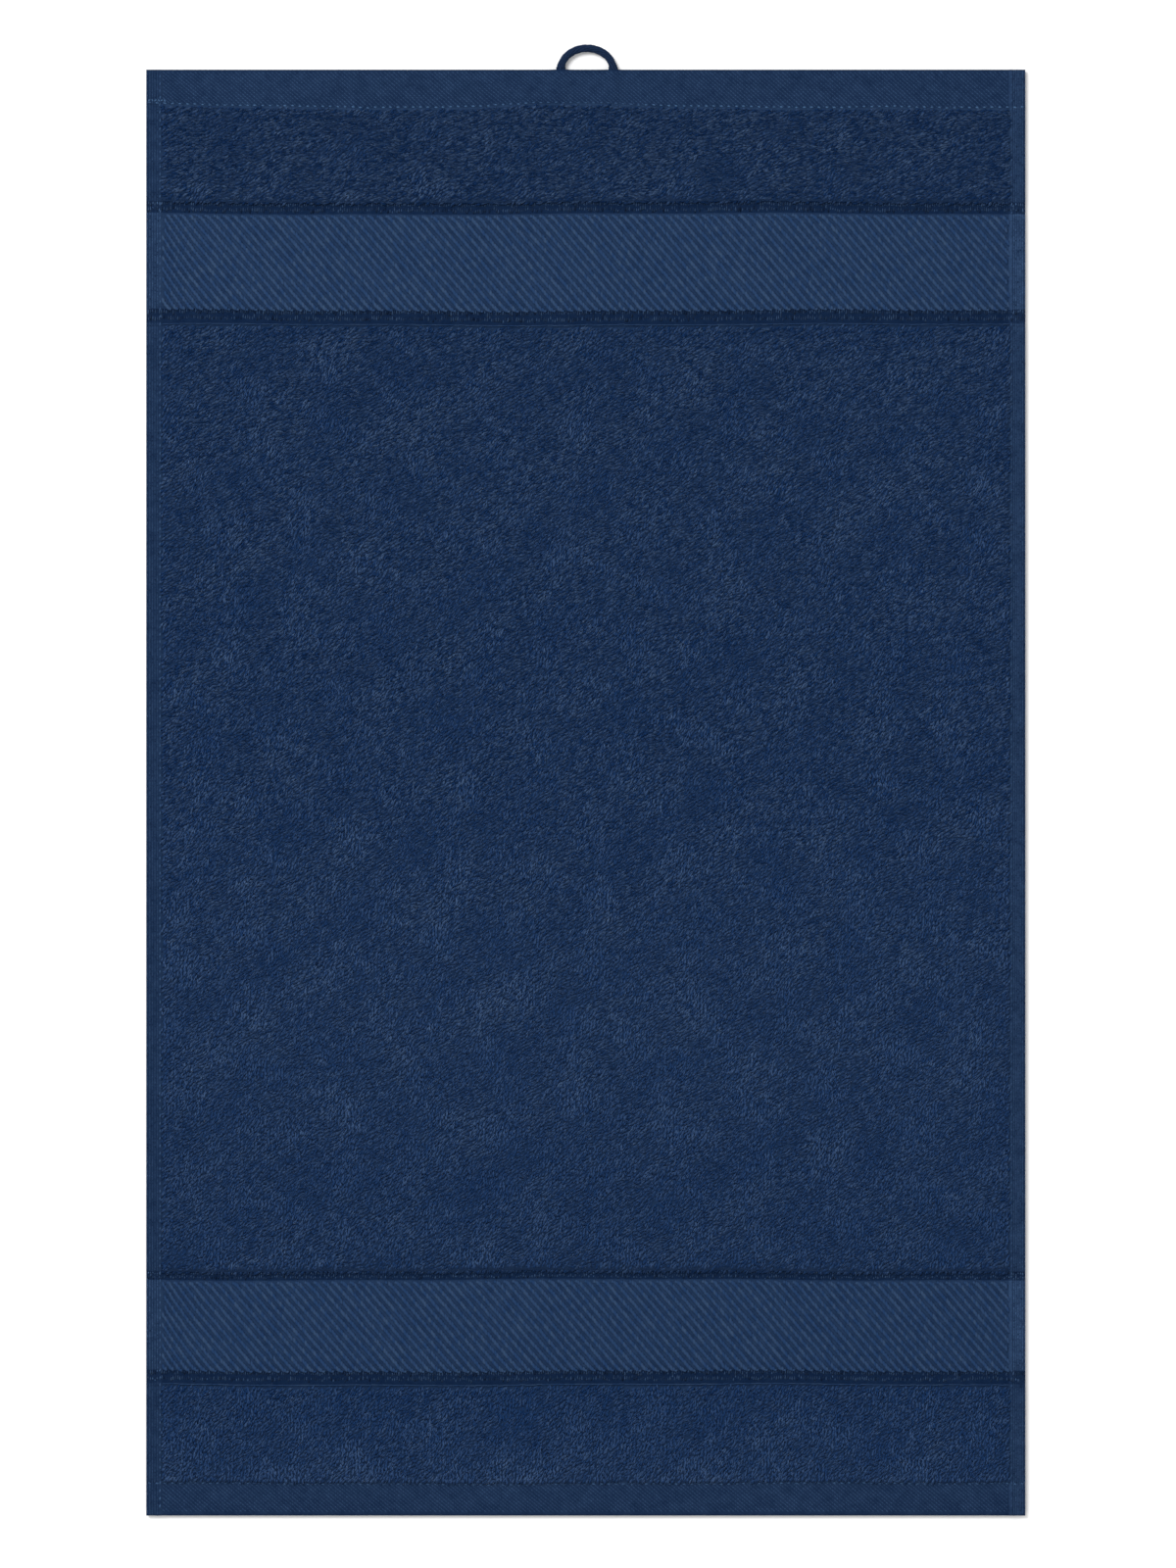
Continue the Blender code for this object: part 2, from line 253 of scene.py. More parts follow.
class Term:
    """A shader value on which Python's operators add Math nodes."""

    def __init__(self, graph: "Graph", socket: bpy.types.NodeSocket) -> None:
        """Wraps a socket of a graph."""
        self.graph = graph
        self.socket = socket

    def maths(self, operation: str, first: object, second: object) -> "Term":
        """The result of a Math node with this operation on two terms or numbers."""
        node = self.graph.node("ShaderNodeMath", {"operation": operation}, {0: first, 1: second})
        return Term(self.graph, node.outputs[0])

    def size(self) -> "Term":
        """This value without its sign."""
        return self.maths("ABSOLUTE", self, 0.0)

    def at_least(self, limit: float) -> "Term":
        """This value, but no less than a limit."""
        return self.maths("MAXIMUM", self, limit)

    def __add__(self, other: object) -> "Term":
        """self + other."""
        return self.maths("ADD", self, other)

    def __radd__(self, other: object) -> "Term":
        """other + self."""
        return self.maths("ADD", other, self)

    def __sub__(self, other: object) -> "Term":
        """self - other."""
        return self.maths("SUBTRACT", self, other)

    def __rsub__(self, other: object) -> "Term":
        """other - self."""
        return self.maths("SUBTRACT", other, self)

    def __mul__(self, other: object) -> "Term":
        """self * other."""
        return self.maths("MULTIPLY", self, other)

    def __rmul__(self, other: object) -> "Term":
        """other * self."""
        return self.maths("MULTIPLY", other, self)


class Graph:
    """The node tree of one material, with its main shader."""

    def __init__(self, name: str) -> None:
        """Makes a material with one Principled shader.

        Args:
            name: the material's name.
        """
        self.material = bpy.data.materials.new(name)
        self.material.use_nodes = True
        self.tree = self.material.node_tree
        self.shader = self.tree.nodes["Principled BSDF"]

    def node(
        self,
        kind: str,
        settings: dict[str, object] | None = None,
        sockets: dict[int | str, object] | None = None,
    ) -> bpy.types.Node:
        """Adds a node.

        Args:
            kind: the node's type.
            settings: its properties by name.
            sockets: a value, socket or term for each input, by name or number.

        Returns:
            The node.
        """
        node = self.tree.nodes.new(kind)
        for name, value in (settings or {}).items():
            setattr(node, name, value)
        for key, value in (sockets or {}).items():
            self.feed(node.inputs[key], value)
        return node

    def feed(self, socket: bpy.types.NodeSocket, value: object) -> None:
        """Links a socket to a term or another socket, or sets it to a value.

        Args:
            socket: the input.
            value: what it takes.
        """
        if isinstance(value, Term):
            value = value.socket
        if isinstance(value, bpy.types.NodeSocket):
            self.tree.links.new(value, socket)
        else:
            socket.default_value = value

    def stored(self, name: str) -> Term:
        """The number that the mesh stores under a name."""
        node = self.node("ShaderNodeAttribute", {"attribute_name": name})
        return Term(self, node.outputs["Fac"])

    def places(self) -> bpy.types.NodeSocket:
        """The place in the piece, in metres."""
        return self.node("ShaderNodeTexCoord").outputs["Object"]

    def noise(self, size: float, detail: float = 3.0, roughness: float = 0.7) -> Term:
        """Soft random patches.

        Args:
            size: the rough distance from one patch to the next.
            detail: how many finer layers are added.
            roughness: how strong each finer layer is beside the one before.

        Returns:
            A value from 0 to 1, about 0.5 on the whole.
        """
        node = self.node(
            "ShaderNodeTexNoise",
            {"noise_dimensions": "3D"},
            {"Vector": self.places(), "Scale": 1 / size, "Detail": detail, "Roughness": roughness},
        )
        return Term(self, node.outputs["Fac"])

    def blend(self, share: Term, low: Colour, high: Colour) -> bpy.types.NodeSocket:
        """A colour between two.

        Args:
            share: how much there is of the second, from 0 to 1.
            low: the first colour.
            high: the second colour.

        Returns:
            The colour's socket.
        """
        node = self.node(
            "ShaderNodeMix",
            {"data_type": "RGBA", "clamp_factor": False},
            {0: share, 6: (*low, 1), 7: (*high, 1)},
        )
        return node.outputs[2]


@dataclass(frozen=True)
class YarnFinish:
    """Cotton yarn: painted shade where it dives into the cloth, a painted highlight along its crest."""

    name: str
    # valley is the yarn's colour in painted shade, crest its colour with a painted highlight
    valley: Colour
    crest: Colour
    patch_size: float = 10 * MM
    patch_share: float = 0.14  # how much the patches lighten and darken the yarn
    patch_floor: float = 0.0  # how much of the patches shows where the rise is 0
    patch_detail: float = 3.0  # finer layers in the patches
    patch_roughness: float = 0.7
    ply_depth: float = 0.0  # how dark the line is between the two plies of a strand: painted shade
    ply_width: float = 0.45  # of that line, as a share of the strand's
    roughness: float = 0.95
    shine: float = 0.08  # strength of the yarn's reflections

    def material(self) -> bpy.types.Material:
        """The finish as a material that reads each point's stored rise, its painted light and shade and its
        tone.

        Returns:
            The material.
        """
        graph = Graph(self.name)
        noise = graph.noise(self.patch_size, self.patch_detail, self.patch_roughness)
        patches = (noise - 0.5) * (2 * self.patch_share)
        rise = graph.stored("rise")
        share = rise + patches * (rise + self.patch_floor)
        if self.ply_depth:
            # painted shade in the groove between the plies
            line = (1.0 - graph.stored("ply").size() * (1 / self.ply_width)).at_least(0.0)
            share = share - line * self.ply_depth
        shader = graph.shader
        graph.feed(shader.inputs["Base Color"], graph.blend(share, self.valley, self.crest))
        shader.inputs["Roughness"].default_value = self.roughness
        shader.inputs["Specular IOR Level"].default_value = self.shine
        return graph.material


class Finish(Enum):
    """The towel's finishes."""

    # each finish runs from its yarn in painted shade to its yarn with a painted highlight
    GROUND = YarnFinish(
        "navy ground weave", (0.0027, 0.0117, 0.0378), (0.0196, 0.0439, 0.0992),
        patch_size=4 * MM, patch_share=0.8, patch_floor=0.3, patch_detail=4.0, patch_roughness=0.85,
    )
    PILE = YarnFinish(
        "navy pile yarn", (0.0073, 0.0374, 0.1310), (0.0264, 0.0664, 0.1733),
        patch_size=5 * MM, patch_share=0.7, patch_detail=4.0, patch_roughness=0.85, ply_depth=0.15,
    )
    TWILL = YarnFinish(
        "navy twill yarn", (0.0055, 0.0262, 0.0865), (0.0190, 0.0440, 0.1025),
        patch_size=2 * MM, patch_share=0.9, patch_detail=4.0, patch_roughness=0.85,
    )
    THREAD = YarnFinish("navy sewing thread", (0.0150, 0.0360, 0.0900), (0.0460, 0.0980, 0.1940))
    CORD = YarnFinish("navy braided cord", (0.0032, 0.0074, 0.0195), (0.0102, 0.0245, 0.0630))


# ---------------------------------------------------------------- the towel's layout


class Weave(Enum):
    """The kinds of weave across the towel."""

    HEM = "hem"
    SEAM = "seam"
    PILE = "pile"
    GROOVE = "groove"
    TWILL = "twill"
    WEFT_LINE = "weft line"
    WEFT_GAP = "weft gap"


class Ground(NamedTuple):
    """The ground sheet under one weave."""

    field: float  # thickness between the side hems
    side: float  # thickness in the side hems
    rise: float  # how light it is, from 0 to 1; its low values in the grooves and under the pile are partly painted shade
    side_rise: float  # how light the side hems are
    weight: float  # its share of the bake map for its length


# The ground is darker in the grooves and under the pile, partly as painted shade in those hollows.
GROUNDS = {
    Weave.HEM: Ground(1.6 * MM, 2.2 * MM, 0.24, 0.38, 2.0),
    Weave.SEAM: Ground(1.35 * MM, 1.9 * MM, 0.62, 0.45, 3.0),
    Weave.PILE: Ground(2.65 * MM, 2.3 * MM, 0.25, 0.35, 1.0),
    Weave.GROOVE: Ground(1.1 * MM, 1.75 * MM, 0.0, 0.1, 3.0),
    Weave.TWILL: Ground(1.5 * MM, 2.1 * MM, 0.4, 0.57, 1.0),
    Weave.WEFT_LINE: Ground(1.2 * MM, 2.0 * MM, 0.4, 0.35, 3.0),
    Weave.WEFT_GAP: Ground(1.3 * MM, 1.9 * MM, 0.2, 0.25, 3.0),
}


class Band(NamedTuple):
    """A stretch of one weave from side to side."""

    name: str
    weave: Weave
    length: float


class Span(NamedTuple):
    """A band with where it starts and ends, from the towel's top edge down."""

    band: Band
    start: float
    end: float


ABOVE_MIDDLE = (
    Band("top_hem", Weave.HEM, 12.5 * MM),
    Band("top_seam", Weave.SEAM, 0.8 * MM),
    Band("upper_pile", Weave.PILE, 32.5 * MM),
    Band("groove_over_upper_border", Weave.GROOVE, 4.1 * MM),
    Band("upper_border", Weave.TWILL, 33.2 * MM),
    Band("groove_under_upper_border", Weave.GROOVE, 4.9 * MM),
    Band("upper_weft_line", Weave.WEFT_LINE, 0.6 * MM),
    Band("upper_weft_gap", Weave.WEFT_GAP, 0.7 * MM),
)
BELOW_MIDDLE = (
    Band("groove_over_lower_border", Weave.GROOVE, 3.05 * MM),
    Band("lower_border", Weave.TWILL, 31.35 * MM),
    Band("groove_under_lower_border", Weave.GROOVE, 4.6 * MM),
    Band("lower_weft_line", Weave.WEFT_LINE, 0.65 * MM),
    Band("lower_weft_gap", Weave.WEFT_GAP, 0.65 * MM),
    Band("lower_pile", Weave.PILE, 32.35 * MM),
    Band("bottom_seam", Weave.SEAM, 0.85 * MM),
    Band("bottom_hem", Weave.HEM, 11.15 * MM),
)


@dataclass
class Towel:
    """Where the towel's weaves, hems and loop lie, and how thick its ground sheet is there."""

    middle: float = 1.7 * MM  # height of the cloth's middle layer
    step: float = 0.3 * MM  # breadth of the slope from one weave to the next
    narrow: float = 1.35 * MM  # a band this narrow is a single crease or crest
    end_pitch: float = 0.781 * MM  # from one warp end to the next
    pick_pitch: float = 0.90 * MM  # from one weft pick to the next, in the borders
    twill_repeat: int = 4  # ends, and picks, in one repeat of the borders' twill
    clearance: float = 0.1 * MM  # between the side seams and the strands beside them
    fold_radius: float = 1.1 * MM  # of the turned edges
    fold_lip: float = 0.07 * MM  # how much of that round is cut off at the very edge
    side_hem: float = 4.4 * MM  # width of the ribbed part of a side hem
    hem_ridge: float = 0.9 * MM  # width of the ridge between the ribs and the seam
    side_seam: float = 0.5 * MM
    ridge_rise: float = 0.25 * MM  # how much thicker the ridge is
    seam_drop: float = -0.5 * MM  # how much thinner the cloth is where it is stitched down
    rib_height: float = 0.22 * MM  # of the side hems' ribs
    left_ribs: int = 5
    right_ribs: int = 6
    right_lightness: float = 1.5  # of the right side hem beside the left one
    # height, length and start of the waves that the woven lines wander in
    waves: tuple[tuple[float, float, float], ...] = ((0.28 * MM, 230 * MM, 0.4), (0.14 * MM, 71 * MM, 2.1))
    wave_shift: float = 31.0  # how far those waves shift for each metre along the towel, in radians
    # places across the towel, and how far the top seam rises there above its straight course
    seam_course: tuple[tuple[float, float], ...] = (
        (-150 * MM, 0.9 * MM), (-104 * MM, 0.1 * MM), (-80 * MM, -0.7 * MM), (-38 * MM, -0.5 * MM),
        (-18 * MM, 0.5 * MM), (8 * MM, 0.6 * MM), (28 * MM, -0.4 * MM), (60 * MM, -0.8 * MM),
        (85 * MM, -0.6 * MM), (103 * MM, -0.1 * MM), (125 * MM, -0.8 * MM), (150 * MM, -0.4 * MM),
    )
    seam_fade: float = 12 * MM  # how far down the pile follows that course
    loop_x: float = 0.4 * MM
    loop_half_width: float = 9.05 * MM  # from the loop's middle to a leg's
    leg_depth: float = 8.8 * MM  # length of the legs inside the hem
    bulge_height: float = 0.56 * MM  # of each face over a leg
    bulge_half_width: float = 4.8 * MM
    bulge_fade: float = 2.2 * MM  # how far the swelling runs on below the legs
    spans: list[Span] = field(default_factory=list)

    def __post_init__(self) -> None:
        """Reads the cloth's outline from the frame and lays the bands down it."""
        low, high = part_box("towel_cloth")
        self.width = high.x - low.x
        self.length = high.y - low.y
        self.top_edge = high.y
        self.sides = self.side_hem + self.hem_ridge + self.side_seam
        self.inner_half = self.width / 2 - self.sides
        taken = sum(band.length for band in ABOVE_MIDDLE + BELOW_MIDDLE)
        main = Band("main_pile", Weave.PILE, self.length - taken)
        start = 0.0
        for band in (*ABOVE_MIDDLE, main, *BELOW_MIDDLE):
            self.spans.append(Span(band, start, start + band.length))
            start += band.length
        self.lines = {value: self.line(value) for value in Ground._fields}

    def line(self, value: str) -> tuple[list[float], list[float]]:
        """A value of the ground sheet from the top edge down, level along each band.

        Args:
            value: the value's name.

        Returns:
            Distances from the top edge, and the value at each.
        """
        places, values = [], []
        for span in self.spans:
            for place in self.level_places(span):
                places.append(place)
                values.append(getattr(GROUNDS[span.band.weave], value))
        return places, values

    def level_places(self, span: Span) -> list[float]:
        """Where the ground sheet is level in a band.

        Args:
            span: the band's span.

        Returns:
            The ends of its level part, or its middle where it is a single crease.
        """
        if span.end - span.start < self.narrow:
            return [(span.start + span.end) / 2]
        return [span.start + self.step / 2, span.end - self.step / 2]

    def ground(self, value: str, y: np.ndarray) -> np.ndarray:
        """A value of the ground sheet at places along the towel."""
        return np.interp(self.down(y), *self.lines[value])

    def span(self, name: str) -> Span:
        """The span of the band with this name."""
        return next(span for span in self.spans if span.band.name == name)

    def spans_of(self, weave: Weave) -> list[Span]:
        """The spans of one weave, from the top down."""
        return [span for span in self.spans if span.band.weave is weave]

    def down(self, y: np.ndarray) -> np.ndarray:
        """Distance from the top edge."""
        return self.top_edge - y

    def inward(self, x: np.ndarray) -> np.ndarray:
        """Distance from the nearer side."""
        return self.width / 2 - np.abs(x)

    def leg_places(self) -> tuple[float, float]:
        """Where the two legs of the loop lie across the towel."""
        return self.loop_x - self.loop_half_width, self.loop_x + self.loop_half_width

    def side_rise(self, x: np.ndarray, y: np.ndarray) -> np.ndarray:
        """How light the side hems are at each place."""
        return self.ground("side_rise", y) * np.where(x > 0, self.right_lightness, 1.0)

    def rib_wave(self, x: np.ndarray) -> np.ndarray:
        """The ribs of the side hems.

        Args:
            x: places across the towel.

        Returns:
            1 on the ribs' crests, -1 between them and 0 away from the side hems.
        """
        ribs = np.where(x < 0, self.left_ribs, self.right_ribs)
        wave = -np.cos(2 * math.pi * ribs * self.inward(x) / self.side_hem)
        return wave * (self.inward(x) < self.side_hem)

    def drift(self, x: np.ndarray, y: np.ndarray) -> np.ndarray:
        """How far the woven lines wander along the towel from their straight course.

        Args:
            x: places across the towel.
            y: places along the towel.

        Returns:
            What is added to y.
        """
        v = self.down(y)
        wander = sum(
            height * np.sin(2 * math.pi * x / length + start + self.wave_shift * y)
            for height, length, start in self.waves
        )
        hem = self.spans[0].end
        wander = wander * np.clip(np.minimum(v, self.length - v) / hem, 0, 1)
        rise = np.interp(x, *zip(*self.seam_course))
        below = fade(v - hem, self.seam_fade)
        above = np.maximum(0, v - self.fold_radius) / hem
        return wander + rise * np.where(v > hem, below, above)

    def half_thickness(self, x: np.ndarray, y: np.ndarray) -> np.ndarray:
        """How far each face of the ground sheet lies from its middle layer.

        Args:
            x: places across the towel.
            y: places along it, before they drift.

        Returns:
            The distance at each place.
        """
        v, u = self.down(y), self.inward(x)
        thin, thick = self.ground("field", y), self.ground("side", y)
        in_side = np.interp(u, [self.sides - self.step / 2, self.sides + self.step / 2], [1, 0])
        ridge = self.side_hem + self.step / 2, self.side_hem + self.hem_ridge - self.step / 2
        seam = self.sides - self.side_seam / 2
        places = [0, ridge[0] - self.step, *ridge, seam, self.sides + self.step / 2]
        extra = np.interp(u, places, [0, 0, self.ridge_rise, self.ridge_rise, self.seam_drop, 0])
        flat = thin + (thick - thin) * in_side + extra
        edge = np.minimum(np.minimum(u, v), self.length - v)
        turned = np.clip((edge + self.fold_lip) / self.fold_radius, 0, 1)
        rounded = flat * np.sqrt(1 - (1 - turned) ** 2)
        return rounded / 2 + self.rib_height / 2 * self.rib_wave(x) * turned + self.bulge(x, y)

    def bulge(self, x: np.ndarray, y: np.ndarray) -> np.ndarray:
        """How much each face of the top hem swells over the two legs of the loop."""
        across = sum(fade(np.abs(x - leg), self.bulge_half_width) for leg in self.leg_places())
        return self.bulge_height * across * fade(self.down(y) - self.leg_depth, self.bulge_fade)


# ---------------------------------------------------------------- the ground sheet


@dataclass
class GroundSheet:
    """The woven sheet under the pile and the floats, with its edges turned over."""

    towel: Towel
    coarse: float = 5.2 * MM  # between lines of points where the sheet is plain
    fold_lines: tuple[float, ...] = (0.0, 0.12 * MM, 0.4 * MM, 1.1 * MM)  # how far in from a fold
    leg_lines: tuple[float, ...] = (0.0, 1.2 * MM, 2.4 * MM, 3.6 * MM, 4.8 * MM)  # from a leg's middle
    dark_edge: float = 0.5 * MM  # how far in from the folds the cloth is painted darker: painted shade where the edges turn under
    rim_share: float = 0.02  # the bake map's part for the outer edge
    rim_fill: float = 0.9  # how much of that part the edge fills
    side_weight: float = 6.0  # the side hems' share of the bake map for their width
    rib_contrast: float = 0.8  # how much lighter the side hems are painted on their ribs' crests: painted highlight, with painted shade between them
    digits: int = 7  # lines of points whose places agree in these are one line

    def columns(self) -> np.ndarray:
        """Where the sheet has a line of points along it.

        Returns:
            Distances from the left side.
        """
        towel = self.towel
        left = self.side_places(towel.left_ribs)
        right = [towel.width - place for place in self.side_places(towel.right_ribs)]
        start = towel.sides + towel.step / 2
        end = towel.width - towel.sides - towel.step / 2
        legs = [
            towel.width / 2 + leg + side * line
            for leg in towel.leg_places()
            for line in self.leg_lines
            for side in (-1, 1)
        ]
        plain = np.linspace(start, end, round((end - start) / self.coarse) + 1)
        plain = [place for place in plain if min(abs(place - leg) for leg in legs) > self.coarse / 3]
        return np.unique(np.round([*left, *right, *plain, *legs], self.digits))

    def side_places(self, ribs: int) -> list[float]:
        """Where a side hem has a line of points, on each rib's crest and in each hollow.

        Args:
            ribs: how many ribs the hem has.

        Returns:
            Distances inward from the side.
        """
        towel = self.towel
        crests = [towel.side_hem * part / (2 * ribs) for part in range(2, 2 * ribs + 1)]
        ridge = towel.side_hem + towel.step / 2, towel.side_hem + towel.hem_ridge - towel.step / 2
        return [*self.fold_lines[:3], *crests, *ridge, towel.sides - towel.side_seam / 2]

    def rows(self) -> np.ndarray:
        """Where the sheet has a line of points across it.

        Returns:
            Distances from the top edge.
        """
        towel = self.towel
        last = towel.length - towel.step
        inner = [towel.leg_depth, towel.leg_depth + towel.bulge_fade]
        for span in towel.spans:
            inner += towel.level_places(span)
            parts = max(1, round((span.end - span.start) / self.coarse))
            inner += list(np.linspace(span.start, span.end, parts + 1)[1:-1])
        folds = [*self.fold_lines, *(towel.length - line for line in self.fold_lines)]
        inner = [place for place in inner if towel.step < place < last]
        return np.unique(np.round([*folds, *inner], self.digits))

    def build(self, finishes: dict[Finish, bpy.types.Material]) -> bpy.types.Object:
        """Models the sheet from a grid, turned into a slab and then shaped.

        Args:
            finishes: the towel's materials.

        Returns:
            The sheet.
        """
        towel = self.towel
        columns, rows = self.columns(), self.rows()
        mesh = self.slab(len(columns), len(rows))
        at = point_places(mesh)
        column = np.rint((at[:, 0] + 1) / 2 * (len(columns) - 1)).astype(int)
        row = np.rint((1 - at[:, 1]) / 2 * (len(rows) - 1)).astype(int)
        front = at[:, 2] > 0.5
        x, y = columns[column] - towel.width / 2, towel.top_edge - rows[row]
        z = towel.middle + np.where(front, 1, -1) * towel.half_thickness(x, y)
        points = np.stack([x, y + towel.drift(x, y), z], 1)
        mesh.vertices.foreach_set("co", points.astype(np.float32).ravel())
        mesh.update()
        mesh.shade_smooth()
        in_side = towel.inward(x) < towel.sides
        # painted highlight on the ribs' crests and painted shade between them
        side_rise = towel.side_rise(x, y) * (1 + self.rib_contrast * towel.rib_wave(x))
        rise = np.where(in_side, side_rise, towel.ground("rise", y))
        edge = np.minimum(towel.inward(x), np.minimum(towel.down(y), towel.length - towel.down(y)))
        # painted shade along the turned edges
        set_values(mesh, "rise", rise * np.clip(edge / self.dark_edge, 0, 1))
        set_map(mesh, self.bake_places(mesh, column, row, front))
        piece = show("ground_sheet", mesh, finishes[Finish.GROUND], Slot.TOWEL)
        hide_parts("towel_cloth")
        return piece

    @staticmethod
    def slab(columns: int, rows: int) -> bpy.types.Mesh:
        """A flat slab 2 across, 2 along and 1 thick.

        Args:
            columns: how many lines of points run along it.
            rows: how many run across it.

        Returns:
            Its mesh.
        """
        deselect()
        bpy.ops.mesh.primitive_grid_add(x_subdivisions=columns - 1, y_subdivisions=rows - 1, size=2)
        bpy.ops.object.mode_set(mode="EDIT")
        bpy.ops.mesh.select_all(action="SELECT")
        bpy.ops.mesh.extrude_region_move(TRANSFORM_OT_translate={"value": (0, 0, 1)})
        bpy.ops.mesh.select_all(action="SELECT")
        bpy.ops.mesh.normals_make_consistent(inside=False)
        bpy.ops.object.mode_set(mode="OBJECT")
        made = bpy.context.object
        mesh = made.data
        mesh.name = "ground_sheet"
        bpy.data.objects.remove(made)
        return mesh

    def bake_places(
        self, mesh: bpy.types.Mesh, column: np.ndarray, row: np.ndarray, front: np.ndarray,
    ) -> np.ndarray:
        """Places in the bake map: the face on its left, the back on its right, the rim below.

        Args:
            mesh: the sheet.
            column: each point's column.
            row: each point's row.
            front: whether each point is on the front.

        Returns:
            One row of u and v for each corner of a face.
        """
        towel = self.towel
        columns, rows = self.columns(), self.rows()
        at_side = (columns < towel.sides) | (columns > towel.width - towel.sides)
        u = self.shares(columns, np.where(at_side, self.side_weight, 1.0))
        v = self.shares(rows, towel.ground("weight", towel.top_edge - rows))
        across = u[column] / 2 + np.where(front, 0, 0.5)
        upward = self.rim_share + (1 - self.rim_share) * (1 - v[row])
        corners = corner_points(mesh)
        flat = np.stack([across, upward], 1)[corners]
        sizes = np.empty(len(mesh.polygons), np.int32)
        mesh.polygons.foreach_get("loop_total", sizes)
        face = np.repeat(np.arange(len(sizes)), sizes)
        on_rim = (np.bincount(face, front[corners]) % sizes != 0)[face]
        starts = np.cumsum(sizes) - sizes
        first = np.minimum.reduceat(column[corners], starts)
        last = np.maximum.reduceat(column[corners], starts)
        at_sides = (first == last)[face]
        along = np.where(at_sides, v[row[corners]], u[column[corners]])
        far = np.where(at_sides, column[corners] > 0, row[corners] > 0)
        quarter = (along + far + 2 * at_sides) / 4  # one for each of the four edges
        rim = np.stack([quarter, front[corners] * self.rim_share * self.rim_fill], 1)
        return np.where(on_rim[:, None], rim, flat)

    @staticmethod
    def shares(places: np.ndarray, weights: np.ndarray) -> np.ndarray:
        """How far along the bake map each place is.

        Args:
            places: distances along the sheet.
            weights: how much of the map each place takes for its length.

        Returns:
            Each place's share of the way, from 0 to 1.
        """
        steps = np.diff(places) * (weights[1:] + weights[:-1]) / 2
        along = np.concatenate([[0], np.cumsum(steps)])
        return along / along[-1]


# ---------------------------------------------------------------- what strands lie on


class Skin:
    """A surface that strands lie on, with its own way along, across and outward."""

    turned_over: bool = False  # whether it is a mirror image, so that its faces wind the other way

    def place(self, along: np.ndarray, across: np.ndarray, height: np.ndarray) -> np.ndarray:
        """Points in the towel's frame, from their places on the skin and heights over it."""
        raise NotImplementedError


@dataclass
class ClothSkin(Skin):
    """A face of the cloth: along is X, across is Y before it drifts."""

    towel: Towel
    face: Face
    on_ground: bool = False  # heights are taken from the ground sheet, not the middle layer

    def __post_init__(self) -> None:
        """The back is a mirror image of the front."""
        self.turned_over = self.face is Face.BACK

    def place(self, along: np.ndarray, across: np.ndarray, height: np.ndarray) -> np.ndarray:
        """Points in the towel's frame, on this face.

        Args:
            along: places across the towel.
            across: places along the towel, before they drift.
            height: heights over the middle layer, or over the ground sheet.

        Returns:
            One row of x, y and z for each place.
        """
        towel = self.towel
        if self.on_ground:
            height = height + towel.half_thickness(along, across)
        z = towel.middle + self.face.value * height
        return np.stack([along, across + towel.drift(along, across), z], -1)


# ---------------------------------------------------------------- strands of yarn


@dataclass
class Strands:
    """Places, sizes and turns of many short strands, one number of each for every strand."""

    along: np.ndarray  # place on the skin
    across: np.ndarray
    crest: np.ndarray  # height of the strand's crest over the skin
    turn: np.ndarray  # radians from the skin's way along
    length: np.ndarray
    width: np.ndarray
    height: np.ndarray  # from its sides to its crest
    bow: np.ndarray  # how far its middle lies to the left of its ends
    tone: np.ndarray  # how light its crest is, about 1

    def __post_init__(self) -> None:
        """Gives every strand its own number where one is given for all."""
        names = list(vars(self))
        for name, values in zip(names, np.broadcast_arrays(*vars(self).values())):
            setattr(self, name, np.array(values, float))

    def kept(self, chosen: np.ndarray) -> "Strands":
        """The strands that a mask picks."""
        return Strands(**{name: values[chosen] for name, values in vars(self).items()})

    def with_more(self, other: "Strands") -> "Strands":
        """These strands and others."""
        both = zip(vars(self).items(), vars(other).values())
        return Strands(**{name: np.concatenate([these, more]) for (name, these), more in both})


class Knot(Enum):
    """How a model strand is made up."""

    LEAF = "four faces: one end dives into the cloth and the other lies on it, with a crest between"
    SHORT = "one section, drawn out to a tip at each end"
    RIDGE = "a level crest over one broad middle"
    LONG = "two sections with a level crest and sides"


